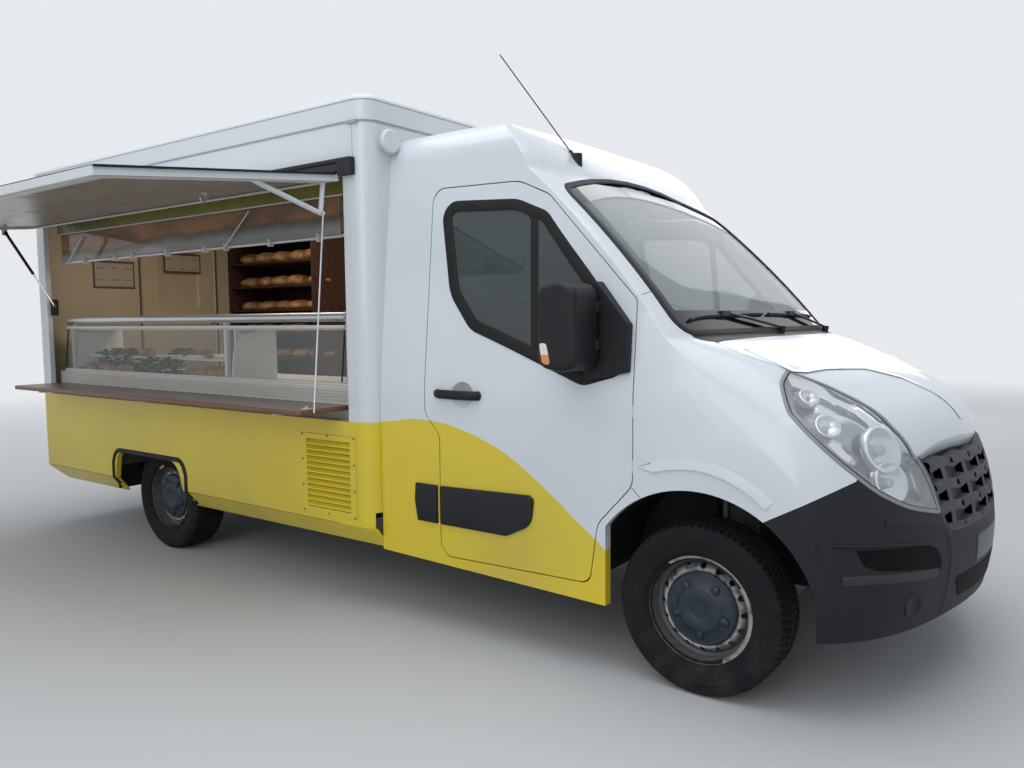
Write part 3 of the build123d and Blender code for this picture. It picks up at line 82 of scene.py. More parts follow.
# %% Vehicle coordinates
left_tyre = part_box("tyre_front_left")
right_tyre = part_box("tyre_front_right")
SHIFT = Vector((
    (left_tyre[0][0] + left_tyre[1][0]) / 2,
    (left_tyre[1][1] + right_tyre[0][1]) / 2,
    0,
))
print("front axle at", tuple(round(v, 4) for v in SHIFT))

# %% [markdown]
# The camera was solved from the box's straight edges and the wheelbase in the photograph. It stands at eye
# height, ahead of the right front corner, and looks back along the serving side, a little down, with a
# slight tilt.

# %% Camera
FOCAL_PIXELS = 820.306
YAW, PITCH, ROLL = math.radians(36.4175), math.radians(-4.5376), math.radians(-0.5587)
EYE = Vector((1.2701, -3.887, 1.4759))

look = Vector((-math.sin(YAW) * math.cos(PITCH), math.cos(YAW) * math.cos(PITCH), math.sin(PITCH)))
level = Vector((math.cos(YAW), math.sin(YAW), 0))
raised = level.cross(look)
right = math.cos(ROLL) * level + math.sin(ROLL) * raised
up = -math.sin(ROLL) * level + math.cos(ROLL) * raised

lens = bpy.data.cameras.new("photo_camera")
lens.sensor_width = 36
lens.lens = 36 * FOCAL_PIXELS / 1024
lens.clip_end = 200
camera = bpy.data.objects.new("photo_camera", lens)
bpy.context.scene.collection.objects.link(camera)
camera.matrix_world = Matrix.Translation(EYE + SHIFT) @ Matrix((right, up, -look)).transposed().to_4x4()
bpy.context.scene.camera = camera
bpy.context.scene.view_settings.view_transform = "Standard"
print("camera at", tuple(round(v, 3) for v in camera.location))

# %% [markdown]
# ## Shader maths
# A material's pattern is easier to read as a sum than as a web of nodes. `Value` wraps a socket, and each
# Python operator on it adds one Math node. `Finish` starts a material, adds any other node, and fills the
# surface shader.

# %% Shader values


def feed(tree, item, socket):
    """Links a Value to the socket, or sets the socket's own value."""
    if isinstance(item, Value):
        tree.links.new(item.socket, socket)
    else:
        socket.default_value = item


def wired(tree, operation, *items):
    """A Math node on numbers and values."""
    node = tree.nodes.new("ShaderNodeMath")
    node.operation = operation
    for socket, item in zip(node.inputs, items):
        feed(tree, item, socket)
    return Value(tree, node.outputs[0])


class Value:
    """A shader socket that Python's operators work on."""

    def __init__(self, tree, socket):
        self.tree = tree
        self.socket = socket

    def __rsub__(self, other):
        return wired(self.tree, "SUBTRACT", other, self)

    def ramp(self, low, high):
        """0 below low, 1 above high, a straight slope between."""
        node = self.tree.nodes.new("ShaderNodeMapRange")
        for key, item in (("Value", self), ("From Min", low), ("From Max", high)):
            feed(self.tree, item, node.inputs[key])
        return Value(self.tree, node.outputs[0])


def as_method(operation):
    """A method of Value that adds one Math node."""
    return lambda self, *others: wired(self.tree, operation, self, *others)


for name, operation in {
    "__add__": "ADD", "__radd__": "ADD", "__sub__": "SUBTRACT", "__mul__": "MULTIPLY", "__rmul__": "MULTIPLY",
    "__truediv__": "DIVIDE", "__lt__": "LESS_THAN", "__gt__": "GREATER_THAN", "__abs__": "ABSOLUTE",
    "least": "MINIMUM", "wave": "SINE", "fraction": "FRACT",
}.items():
    setattr(Value, name, as_method(operation))


class Finish:
    """A material under construction, with vehicle coordinates ready as x, y and z."""

    def __init__(self, name, colour, roughness, **sockets):
        self.material = bpy.data.materials.new(name)
        self.material.use_nodes = True
        self.tree = self.material.node_tree
        self.surface = self.tree.nodes["Principled BSDF"]
        self.put("Base Color", (*colour, 1))
        self.put("Roughness", roughness)
        for socket, item in sockets.items():
            self.put(socket.replace("_", " "), item)
        held = self.node("ShaderNodeTexCoord", out="Object")
        self.place = self.node("ShaderNodeMapping", sockets={"Vector": held, "Location": tuple(-SHIFT)})
        self.x, self.y, self.z = (
            self.node("ShaderNodeSeparateXYZ", sockets={"Vector": self.place}, out=axis) for axis in "XYZ"
        )

    def node(self, kind, settings=None, sockets=None, out=0):
        """Any node: its settings first, then the values or links of its sockets."""
        node = self.tree.nodes.new(kind)
        for key, item in (settings or {}).items():
            setattr(node, key, item)
        for key, item in (sockets or {}).items():
            feed(self.tree, item, node.inputs[key])
        return Value(self.tree, node.outputs[out])

    def put(self, socket, item):
        feed(self.tree, item, self.surface.inputs[socket])

    def mix(self, first, second, mask):
        """The first colour where the mask is 0 and the second where it is 1."""
        ends = [(*c, 1) if isinstance(c, tuple) and len(c) == 3 else c for c in (first, second)]
        return self.node("ShaderNodeMix", {"data_type": "RGBA"}, {0: mask, 6: ends[0], 7: ends[1]}, out=2)

    def tint(self, first, second, mask):
        """Mixes the base colour."""
        self.put("Base Color", self.mix(first, second, mask))

    def noise(self, scale, detail=3.0, stretch=(1, 1, 1)):
        """Cloudy noise on vehicle coordinates, 0 to 1 and mostly near the middle."""
        vector = self.place
        if stretch != (1, 1, 1):
            vector = self.node("ShaderNodeMapping", sockets={"Vector": self.place, "Scale": stretch})
        return self.node("ShaderNodeTexNoise", sockets={"Vector": vector, "Scale": scale, "Detail": detail})

    def bump(self, height, distance, strength=1.0):
        """Raises the surface by the height pattern, distance metres at height 1, and gives the material."""
        self.put("Normal", self.node("ShaderNodeBump", sockets={
            "Height": height, "Distance": distance, "Strength": strength,
        }))
        return self.material


# %% [markdown]
# ## Paint
# Van paint is smooth, with a faint orange peel and a thin film of road dust that thickens towards the
# sills. The yellow is masked off along a wave on the cab: level on the box, then falling across the door to
# the wheel arch. A Float Curve holds that line as height over x, so the mask follows every panel it
# crosses.

# %% Two-tone paint
WHITE = (0.7, 0.74, 0.78)
PANEL_WHITE = (0.71, 0.745, 0.775)
YELLOW = (0.76, 0.585, 0.022)
DUST = (0.2, 0.18, 0.155)
BOX_LINE = 0.9735
ABOVE_ALL = 99.0
WAVE = (
    (-1.7, BOX_LINE), (-1.56, 0.985), (-1.443, 1.003), (-1.346, 1.004), (-1.253, 0.998), (-1.161, 0.982),
    (-1.015, 0.942), (-0.903, 0.899), (-0.822, 0.857), (-0.742, 0.806), (-0.665, 0.753), (-0.589, 0.698),
    (-0.515, 0.64), (-0.443, 0.59), (-0.382, 0.543), (-0.33, 0.5), (-0.3, 0.4),
)
WAVE_START, WAVE_END = WAVE[0][0], WAVE[-1][0]


def wave_height(finish):
    """The height of the paint line over x."""
    node = finish.tree.nodes.new("ShaderNodeFloatCurve")
    curve = node.mapping.curves[0]
    for i, (x, z) in ((0, WAVE[0]), (1, WAVE[-1])):
        curve.points[i].location = ((x - WAVE_START) / (WAVE_END - WAVE_START), z)
    for x, z in WAVE[1:-1]:
        curve.points.new((x - WAVE_START) / (WAVE_END - WAVE_START), z)
    node.mapping.update()
    feed(finish.tree, (finish.x - WAVE_START) / (WAVE_END - WAVE_START), node.inputs["Value"])
    return Value(finish.tree, node.outputs[0])


def paint(name, line=None, colour=WHITE):
    """Gloss paint with orange peel and road dust, yellow below the line."""
    finish = Finish(name, colour, 0.3, Coat_Weight=0.35, Coat_Roughness=0.06)
    base = colour
    if line is not None:
        edge = line(finish) if callable(line) else line
        base = finish.mix(colour, YELLOW, finish.z < edge)
    cloud = finish.noise(1.7, 4)
    low = 1 - finish.z.ramp(0.28, 1.0)
    streak = finish.noise(9, 5, (1, 1, 0.12))
    film = (low * 0.3 + 0.03) * cloud.ramp(0.35, 0.75) + streak.ramp(0.62, 0.85) * 0.05
    finish.tint(base, DUST, film)
    finish.put("Roughness", 0.26 + film * 0.6 + finish.noise(40, 2) * 0.05)
    return finish.bump(finish.noise(260, 2), 0.00025)


cab_paint = paint("cab_two_tone_paint", wave_height)
box_paint = paint("box_two_tone_panel", BOX_LINE, PANEL_WHITE)
white_paint = paint("white_paint")
white_panel = paint("white_panel", colour=PANEL_WHITE)
yellow_paint = paint("yellow_paint", ABOVE_ALL)
print("paints made")

# %% [markdown]
# ## Plastics, rubber and metals
# Bumper plastic is a grained grey-black that has gone dull. Tyre rubber is nearly black with brown-grey
# dust in its lower grooves. Frame paint is satin black under a layer of mud. Bare alloy is brushed along
# its length.

# %% Plastics, rubber and metals


def plastic(name, colour, roughness=0.55, grain=900, depth=0.00035, dust=0.25, gloss=0.5):
    """Moulded plastic with a fine leather grain and some dust."""
    finish = Finish(name, colour, roughness, Specular_IOR_Level=gloss)
    cloud = finish.noise(3.5, 4)
    film = cloud.ramp(0.4, 0.8) * dust
    finish.tint(colour, (0.16, 0.16, 0.165), film)
    finish.put("Roughness", roughness - 0.06 + cloud * 0.2)
    return finish.bump(finish.noise(grain, 2), depth)


def sleek(name, colour, roughness, dust=0.05, grain=60):
    """Plastic with no grain to see."""
    return plastic(name, colour, roughness, grain, 0.0001, dust)


def metal(name, colour, roughness=0.35, metallic=1.0, stretch=(1, 1, 1), dirt=0.2):
    """Metal with brushing along one way and stains."""
    finish = Finish(name, colour, roughness, Metallic=metallic)
    brushed = finish.noise(220, 3, stretch)
    stain = finish.noise(5, 4).ramp(0.45, 0.8) * dirt
    finish.tint(colour, tuple(c * 0.3 for c in colour), stain)
    finish.put("Roughness", roughness + brushed * 0.16 + stain * 0.5)
    return finish.bump(brushed, 0.0002)


def rubber(name, colour=(0.009, 0.01, 0.012), roughness=0.75):
    """Black rubber, dulled by dust that lies thicker near the road."""
    finish = Finish(name, colour, roughness, Specular_IOR_Level=0.22)
    cloud = finish.noise(14, 5)
    film = cloud.ramp(0.42, 0.75) * ((1 - finish.z.ramp(0.0, 0.5)) * 0.12 + 0.03)
    finish.tint(colour, (0.17, 0.15, 0.13), film)
    finish.put("Roughness", roughness + cloud * 0.12)
    return finish.bump(finish.noise(400, 2), 0.0003)


bumper_plastic = plastic("bumper_plastic", (0.011, 0.0125, 0.017), 0.5, dust=0.04, gloss=0.28)
black_plastic = plastic("black_plastic", (0.008, 0.009, 0.011), 0.45, dust=0.04, gloss=0.3)
grey_plastic = plastic("grey_plastic", (0.11, 0.115, 0.125), 0.5, dust=0.15)
dash_plastic = plastic("dash_plastic", (0.055, 0.06, 0.068), 0.6)
floor_rubber = plastic("floor_rubber", (0.07, 0.07, 0.07), 0.8, grain=300, depth=0.001)
tyre_rubber = rubber("tyre_rubber")
seal_rubber = rubber("seal_rubber", (0.012, 0.012, 0.013), 0.5)
frame_paint = metal("frame_paint", (0.03, 0.03, 0.032), 0.6, 0.0, dirt=0.5)
axle_steel = metal("axle_steel", (0.16, 0.155, 0.15), 0.5, 0.8, dirt=0.6)
engine_alloy = metal("engine_alloy", (0.33, 0.33, 0.34), 0.45, 0.9, dirt=0.6)
exhaust_steel = metal("exhaust_steel", (0.3, 0.27, 0.24), 0.5, 0.9, dirt=0.7)
alloy = metal("brushed_alloy", (0.62, 0.64, 0.66), 0.32, 0.9, (0.05, 1, 1), dirt=0.1)
chrome = metal("chrome", (0.8, 0.82, 0.84), 0.08, 1.0, dirt=0.02)
cream_alloy = sleek("cream_profile", (0.62, 0.6, 0.55), 0.35, 0.1)
print("plastics and metals made")

# %% [markdown]
# ## Glass, wood and cloth
# Window glass is thin and slightly grey-green. The lamp lens is clear. The counter's wood is pale, and the
# rack's is stained dark.

# %% Glass, wood and cloth


def glass(name, tint, roughness=0.02, alpha=0.28):
    """Thin tinted glass: mostly see-through, with a full reflection."""
    finish = Finish(name, tint, roughness, Coat_Weight=0.0, Alpha=alpha, IOR=1.5)
    finish.put("Roughness", roughness + finish.noise(6, 3).ramp(0.55, 0.9) * 0.06)
    return finish.material


def wood(name, light, dark, scale=1.0, roughness=0.4):
    """Boards with grain along x."""
    finish = Finish(name, light, roughness)
    wander = finish.noise(3 * scale, 4, (0.3, 1, 1))
    rings = (finish.y * 90 * scale + finish.z * 70 * scale + wander * 9).wave()
    fine = finish.noise(60 * scale, 3, (0.06, 1, 1))
    grain = rings.ramp(-1, 1) * 0.45 + fine * 0.55
    finish.tint(light, dark, grain)
    finish.put("Roughness", roughness + fine * 0.15)
    return finish.bump(fine, 0.0002)


def cloth(name, colour, thread=700.0):
    """Woven seat cloth: two crossing sets of threads."""
    finish = Finish(name, colour, 0.9, Sheen_Weight=0.3)
    weave = (finish.y * thread).wave() * ((finish.x + finish.z) * thread).wave()
    finish.tint(colour, tuple(c * 2.2 for c in colour), weave.ramp(-1, 1) * 0.4)
    return finish.bump(weave, 0.0006)


window_glass = glass("window_glass", (0.09, 0.11, 0.11), alpha=0.55)
case_glass = glass("case_glass", (0.75, 0.8, 0.78), alpha=0.12)
lens_glass = glass("lens_glass", (0.8, 0.84, 0.86), alpha=0.16)
red_lens = sleek("red_lens", (0.35, 0.012, 0.01), 0.12)
counter_wood = wood("counter_wood", (0.55, 0.42, 0.28), (0.42, 0.31, 0.2), 0.6, 0.45)
rack_wood = wood("rack_wood", (0.085, 0.035, 0.022), (0.04, 0.017, 0.012), 0.8, 0.5)
seat_cloth = cloth("seat_cloth", (0.035, 0.037, 0.045))
print("glass, wood and cloth made")

# %% [markdown]
# ## Stage and light
# The floor is plain and pale, and fades into the sky's colour far away, so that no horizon shows. One wide
# soft lamp overhead gives the even light of a cloudy day, and two weaker ones fill the sides. The camera
# and reflections see a paler sky than the one that lights the truck.

# %% Stage
SEEN_SKY = (0.8, 0.82, 0.85, 1)



def looked_at(tree):
    """1 for rays from the camera, from reflections and through glass, else 0."""
    rays = tree.nodes.new("ShaderNodeLightPath").outputs
    total = Value(tree, rays["Is Camera Ray"])
    for name in ("Is Glossy Ray", "Is Transmission Ray"):
        total = wired(tree, "MAXIMUM", total, Value(tree, rays[name]))
    return total


def blended(tree, mask, first, second):
    """The first shader where the mask is 0 and the second where it is 1."""
    blend = tree.nodes.new("ShaderNodeMixShader")
    for socket, item in zip(blend.inputs, (mask.socket, first, second)):
        tree.links.new(item, socket)
    return blend.outputs[0]


def floor_finish():
    """Matt pale grey that turns into the sky's colour between 5 and 17 metres from the truck."""
    finish = Finish("floor_grey", (0.6, 0.605, 0.61), 0.9, Specular_IOR_Level=0.1)
    reach = wired(finish.tree, "SQRT", finish.x * finish.x + finish.y * finish.y)
    glow = finish.node("ShaderNodeEmission", sockets={"Color": SEEN_SKY})
    mask = reach.ramp(5.0, 17.0) * looked_at(finish.tree)
    shown = blended(finish.tree, mask, finish.surface.outputs[0], glow.socket)
    finish.tree.links.new(shown, finish.tree.nodes["Material Output"].inputs["Surface"])
    return finish.material


mesh = bpy.data.meshes.new("floor")
bm = bmesh.new()
bmesh.ops.create_grid(bm, x_segments=1, y_segments=1, size=60)
bm.to_mesh(mesh)
bm.free()
floor = bpy.data.objects.new("floor", mesh)
bpy.context.scene.collection.objects.link(floor)
mesh.materials.append(floor_finish())

world = bpy.data.worlds.new("studio")
bpy.context.scene.world = world
world.use_nodes = True
tree = world.node_tree
tree.nodes.clear()
skies = []
for colour, power in (((0.86, 0.93, 1.0, 1), 0.42), (SEEN_SKY, 1.0)):
    sky = tree.nodes.new("ShaderNodeBackground")
    sky.inputs[0].default_value = colour
    sky.inputs[1].default_value = power
    skies.append(sky.outputs[0])
shown = blended(tree, looked_at(tree), *skies)
tree.links.new(shown, tree.nodes.new("ShaderNodeOutputWorld").inputs["Surface"])


def soft_lamp(name, place, aim, size, power, colour):
    """A square area lamp that looks at a point."""
    lamp = bpy.data.lights.new(name, "AREA")
    lamp.size = size
    lamp.energy = power
    lamp.color = colour
    holder = bpy.data.objects.new(name, lamp)
    bpy.context.scene.collection.objects.link(holder)
    holder.location = Vector(place) + SHIFT
    holder.rotation_euler = (Vector(aim) - Vector(place)).to_track_quat("-Z", "Y").to_euler()


soft_lamp("cloud_light", (-1.5, -1.5, 8.5), (-2.2, 0, 1), 10, 500, (0.95, 0.97, 1.0))
soft_lamp("serving_side_fill", (0.5, -9, 4.5), (-2, 0, 1.2), 6, 190, (0.97, 0.98, 1.0))
soft_lamp("sales_light", (-3.3, -0.2, 2.45), (-3.3, -0.2, 0), 1.2, 16, (1.0, 0.9, 0.76))
soft_lamp("far_side_fill", (-3, 9, 5), (-2, 0, 1.2), 6, 170, (0.97, 0.98, 1.0))
print("stage ready")

# %% [markdown]
# ## Tools for pieces
# A CAD panel comes as loose flat triangles. `dressed` copies one, merges it, joins its flat faces and
# rounds its edges with a small bevel, as a pressed or moulded edge is, and the copy stands for the node.
# New pieces are drawn with bmesh and pass through `finished`, which places, smooths, paints and attaches
# them.

# %% Tools for pieces


def made(name, bm, materials, body, smooth, bevel):
    """A piece from a bmesh in the shared frame: smoothed, painted, attached, and its sharp edges rounded."""
    mesh = bpy.data.meshes.new(name)
    bm.to_mesh(mesh)
    bm.free()
    mesh.polygons.foreach_set("use_smooth", [True] * len(mesh.polygons))
    mesh.set_sharp_from_angle(angle=math.radians(smooth))
    piece = bpy.data.objects.new(name, mesh)
    bpy.context.scene.collection.objects.link(piece)
    for material in materials if isinstance(materials, list) else [materials]:
        mesh.materials.append(material)
    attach(piece, body)
    if bevel:
        rounding = piece.modifiers.new("rounded edges", "BEVEL")
        rounding.width = bevel
        rounding.segments = 2
        rounding.limit_method = "ANGLE"
        rounding.angle_limit = math.radians(40)
    return piece


def merged(node):
    """A bmesh of a CAD node with its triangles merged and its flat faces joined."""
    bm = bmesh.new()
    bm.from_mesh(NODES[node].data)
    bmesh.ops.remove_doubles(bm, verts=bm.verts, dist=1e-5)
    bmesh.ops.dissolve_limit(bm, angle_limit=math.radians(0.3), verts=bm.verts, edges=bm.edges)
    return bm


def dressed(node, materials, bevel=0.0025, choose=None):
    """A copy of a CAD node with rounded edges that stands for it. choose gives a face's material number."""
    bm = merged(node)
    if choose:
        for face in bm.faces:
            face.material_index = choose(face, face.calc_center_median() - SHIFT)
    piece = made(node + "_skin", bm, materials, BODY_OF[node], 32, bevel)
    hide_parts(node)


def finished(name, bm, materials, body="vehicle", smooth=32, bevel=0.0):
    """A new piece from a bmesh in vehicle coordinates."""
    bmesh.ops.translate(bm, verts=bm.verts, vec=SHIFT)
    return made(name, bm, materials, body, smooth, bevel)


def add_block(bm, low, high, turn=None):
    """A box between two corners, turned about its middle if turn is given."""
    low, high = Vector(low), Vector(high)
    spin = turn.to_4x4() if turn else Matrix()
    matrix = Matrix.Translation((low + high) / 2) @ spin @ Matrix.Diagonal((*(high - low), 1))
    bmesh.ops.create_cube(bm, size=1, matrix=matrix)


def add_bar(bm, start, end, radius, sides=16):
    """A round bar between two points."""
    start, end = Vector(start), Vector(end)
    run = end - start
    matrix = Matrix.Translation((start + end) / 2) @ run.to_track_quat("Z", "Y").to_matrix().to_4x4()
    bmesh.ops.create_cone(
        bm, cap_ends=True, segments=sides, radius1=radius, radius2=radius, depth=run.length, matrix=matrix,
    )


def add_spun(bm, profile, centre, axis, start, steps=64):
    """A ring from a closed profile of (along the axis, distance from it), spun about the axis."""
    axis = Vector(axis).normalized()
    out = Vector(start)
    verts = [bm.verts.new(Vector(centre) + axis * a + out * r) for a, r in profile]
    edges = [bm.edges.new((verts[i - 1], verts[i])) for i in range(len(verts))]
    before = set(bm.faces)
    bmesh.ops.spin(
        bm, geom=verts + edges, cent=centre, axis=axis, angle=math.tau, steps=steps, use_merge=True,
    )
    bmesh.ops.recalc_face_normals(bm, faces=[face for face in bm.faces if face not in before])


def add_plate(bm, points, way, brim=0.0):
    """A plate from a closed line of points, as thick as way is long. brim slopes its outer edge."""
    sheet = bm.faces.new([bm.verts.new(point) for point in points])
    grown = bmesh.ops.extrude_face_region(bm, geom=[sheet])["geom"]
    top = [item for item in grown if isinstance(item, bmesh.types.BMFace)]
    bmesh.ops.translate(bm, verts=top[0].verts, vec=way)
    if brim:
        bmesh.ops.inset_region(bm, faces=top, thickness=brim, depth=0.003)
    bmesh.ops.recalc_face_normals(bm, faces=bm.faces)


print("tools ready")

# %% [markdown]
# Rubber edges, seams, rails and hoses are all one idea: a small section drawn along a line. `add_sweep`
# extrudes the section's edges from point to point. `rounded_outline` gives the line of a window from its
# corners, and `on_skin` drops each point of a line onto the bodywork, so that a seal follows the panel's
# curve. `even` mirrors half a section, and `add_skin_line` turns a section with the normals of the skin
# that it lies on.

# %% Sweeps and lines on the bodywork


def rounded_outline(corners, steps=7):
    """The points of a closed flat outline, each corner (u, v, radius) rounded."""
    points = []
    for i, (u, v, radius) in enumerate(corners):
        here = Vector((u, v))
        back = (Vector(corners[i - 1][:2]) - here).normalized()
        ahead = (Vector(corners[(i + 1) % len(corners)][:2]) - here).normalized()
        half = math.acos(max(-1.0, min(1.0, back.dot(ahead)))) / 2
        if radius == 0 or half > 1.565:
            points.append((u, v))
            continue
        reach = radius / math.tan(half)
        middle = here + (back + ahead).normalized() * (radius / math.sin(half))
        start, end = here + back * reach - middle, here + ahead * reach - middle
        turn = start.angle_signed(end)
        for k in range(steps + 1):
            spoke = Matrix.Rotation(-turn * k / steps, 2) @ start
            points.append(tuple(middle + spoke))
    return points


def resampled(points, step, closed=True):
    """The same line with points no further apart than the step."""
    line = [Vector(point) for point in points]
    if closed:
        line.append(line[0])
    out = []
    for a, b in zip(line, line[1:]):
        parts = max(1, math.ceil((b - a).length / step))
        out += [a.lerp(b, k / parts) for k in range(parts)]
    return out if closed else out + [line[-1]]


def skin_tree(*names):
    """CAD nodes as one search tree in vehicle coordinates."""
    bm = bmesh.new()
    for name in names:
        bm.from_mesh(NODES[name].data)
    bmesh.ops.translate(bm, verts=bm.verts, vec=-SHIFT)
    tree = BVHTree.FromBMesh(bm)
    bm.free()
    return tree


def on_skin(tree, points, way, lift=0.0):
    """The points dropped onto the tree along a way, lifted off it by a little."""
    way = Vector(way)
    landed = []
    for point in points:
        start = Vector(point) - way * 3
        place, normal, _, _ = tree.ray_cast(start, way)
        if place is None:
            place, normal, _, _ = tree.find_nearest(Vector(point))
        landed.append(place - way * lift)
    return landed


def add_sweep(bm, path, section, out, closed=False):
    """A closed section of (across, outward) drawn along a path. out is the outward way, or gives it."""
    points = [Vector(point) for point in path]
    frames = []
    for i, point in enumerate(points):
        before = points[i - 1] if closed or i else point
        after = points[(i + 1) % len(points)] if closed or i < len(points) - 1 else point
        run = (after - before).normalized()
        away = Vector(out(point)) if callable(out) else Vector(out)
        away = (away - run * away.dot(run)).normalized()
        frames.append([point + run.cross(away) * a + away * b for a, b in section])
    ring = [bm.verts.new(place) for place in frames[0]]
    edges = [bm.edges.new((ring[j - 1], ring[j])) for j in range(len(ring))]
    first_ring, first_edges, sides = ring, edges, []
    for frame in frames[1:] + (frames[:1] if closed else []):
        grown = bmesh.ops.extrude_edge_only(bm, edges=edges)["geom"]
        fresh = {item for item in grown if isinstance(item, bmesh.types.BMVert)}
        edges = [item for item in grown if isinstance(item, bmesh.types.BMEdge) and set(item.verts) <= fresh]
        sides += [item for item in grown if isinstance(item, bmesh.types.BMFace)]
        ring = [next(e.other_vert(v) for e in v.link_edges if e.other_vert(v) in fresh) for v in ring]
        for vert, place in zip(ring, frame):
            vert.co = place
    if closed:
        bmesh.ops.remove_doubles(bm, verts=ring + first_ring, dist=1e-6)
    else:
        sides += bmesh.ops.holes_fill(bm, edges=first_edges)["faces"]
        sides += bmesh.ops.holes_fill(bm, edges=edges)["faces"]
    bmesh.ops.recalc_face_normals(bm, faces=[face for face in sides if face.is_valid])


def add_skin_line(bm, landed, section, closed=False):
    """A sweep through landed pairs of a point on a skin and the skin's outward way there."""
    ways = {tuple(round(v, 6) for v in place): normal for place, normal in landed}
    path = [place for place, _ in landed]
    add_sweep(bm, path, section, lambda point: ways[tuple(round(v, 6) for v in point)], closed)


def even(*half):
    """A closed section that is the same on both sides, from its points with a positive across, foot first."""
    return [(-half[0][0], half[0][1]), *half, *((-a, b) for a, b in reversed(half[1:]) if a)]


def round_section(radius, sides=10, flat=1.0):
    """A round section, pressed flat by a share."""
    turns = [math.tau * k / sides for k in range(sides)]
    return [(radius * math.cos(turn), flat * radius * math.sin(turn)) for turn in turns]


def outlined(corners, step, steps=7):
    """A rounded outline with points no further apart than the step."""
    return resampled(rounded_outline(corners, steps), step)


def on_side(tree, line, side, lift=0.0):
    """Points of (x, z) dropped sideways onto the tree, from the right for -1 and from the left for 1."""
    return on_skin(tree, [(x, 0, z) for x, z in line], (0, -side, 0), lift)


SIDES = {-1: "right", 1: "left"}
cab_skin = skin_tree(
    "cab_shell", "scuttle", "front_wings", "bonnet", "headlamps", "front_bumper", "front_grille",
)
door_skin = {side: skin_tree(f"door_{hand}") for side, hand in SIDES.items()}
print("sweeps ready")

# %% [markdown]
# ## Dressing the CAD panels
# Most nodes only need rounded edges and a finish.

# %% Plain nodes
PLAIN = (
    (frame_paint, "chassis_frame rear_bumper"), (engine_alloy, "engine_block"), (exhaust_steel, "exhaust"),
    (black_plastic, "fuel_tank arch_liners scuttle aerial steering_wheel"),
    (black_plastic, "mirror_left mirror_right strut_tube"),
    (axle_steel, "front_suspension rear_axle knuckle_left knuckle_right"), (dash_plastic, "dashboard"),
    (cab_paint, "cab_shell front_wings door_left door_right"), (floor_rubber, "cab_floor box_floor"),
    (bumper_plastic, "front_bumper"), (grey_plastic, "front_grille"), (seat_cloth, "cab_seats"),
    (white_panel, "box_roof roof_vent"),
    (box_paint, "box_right_wall box_left_wall box_front_wall box_rear_wall"),
    (yellow_paint, "box_skirts vent_louvre"), (rack_wood, "bread_rack"), (red_lens, "rear_lamps"),
    (white_paint, "bonnet"), (alloy, "hatch_rod"), (chrome, "strut_rod"), (case_glass, "display_glass"),
    (window_glass, "door_glass_left door_glass_right"), (lens_glass, "headlamps"),
)
for material, names in PLAIN:
    for node in names.split():
        dressed(node, material, bevel=0.0 if "glass" in node or node == "headlamps" else 0.002)
print("plain nodes dressed")

# %% [markdown]
# ## Wheels
# The tyre is one profile spun about the axle: bead, bulging sidewall with two raised rings, shoulder and
# four grooves. Every fourth strip of each rib is then pushed in, which cuts the tread into blocks. The spin
# gets enough steps for a cut to be 7 mm wide.

# %% Tyres
TREAD_STEPS = 288
AXLE_HEIGHT = 0.338
REAR_AXLE = -3.682
TYRE_HALF = (
    (0.0767, 0.2036), (0.0767, 0.2152), (0.085, 0.2168), (0.09, 0.2215), (0.0945, 0.229), (0.0975, 0.231),
    (0.0985, 0.2335), (0.0978, 0.236), (0.103, 0.248), (0.1078, 0.265), (0.1095, 0.28), (0.1108, 0.2815),
    (0.1108, 0.285), (0.1093, 0.2865), (0.108, 0.2985), (0.1092, 0.3), (0.109, 0.3035), (0.106, 0.311),
    (0.102, 0.322), (0.0965, 0.33), (0.09, 0.335), (0.072, 0.3376), (0.06, 0.338), (0.0575, 0.3305),
    (0.0495, 0.3305), (0.047, 0.338), (0.025, 0.338), (0.0225, 0.3305), (0.0145, 0.3305), (0.012, 0.338),
)
TYRE_PROFILE = [*TYRE_HALF, *((-a, r) for a, r in reversed(TYRE_HALF))]
WHEELS = {
    f"{axle}_{hand}": Vector((x, 0.872 * side, AXLE_HEIGHT))
    for axle, x in (("front", 0.0), ("rear", REAR_AXLE)) for side, hand in reversed(SIDES.items())
}


def tread_cut(step, along, radius):
    """How deep a tread face is cut: shoulder blocks and two inner ribs, staggered. 0 is no cut."""
    if radius < 0.33:
        return 0
    if along > 0.06:
        return 0.006 if step % 4 == 0 else 0
    return 0.004 if 0.0255 < along < 0.0465 and step % 4 == 2 else 0


for name, centre in WHEELS.items():
    bm = bmesh.new()
    add_spun(bm, TYRE_PROFILE, centre, (0, 1, 0), (0, 0, 1), TREAD_STEPS)
    cuts = {}
    for face in bm.faces:
        middle = face.calc_center_median() - centre
        step = int((math.atan2(middle.x, middle.z) % math.tau) / math.tau * TREAD_STEPS)
        depth = tread_cut(step, abs(middle.y), math.hypot(middle.x, middle.z))
        if depth:
            cuts.setdefault(depth, []).append(face)
    for depth, faces in cuts.items():
        grown = bmesh.ops.extrude_face_region(bm, geom=faces)["geom"]
        bmesh.ops.delete(bm, geom=faces, context="FACES_ONLY")
        for vert in (item for item in grown if isinstance(item, bmesh.types.BMVert)):
            out = vert.co - centre
            out.y = 0
            vert.co -= out.normalized() * depth
    tyre = finished(f"tyre_{name}_tread", bm, tyre_rubber, f"wheel_{name}", smooth=40)
    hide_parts(f"tyre_{name}")
print("tyre triangles", sum(len(p.vertices) - 2 for p in tyre.data.polygons))

# %% [markdown]
# The steel wheel is painted grey. Stones and balance weights have chipped its lip and the ring round the
# cap to bright and rusty metal. The radius from the nearest axle is the pattern's ruler, so one material
# suits all four.

# %% Wheel finishes


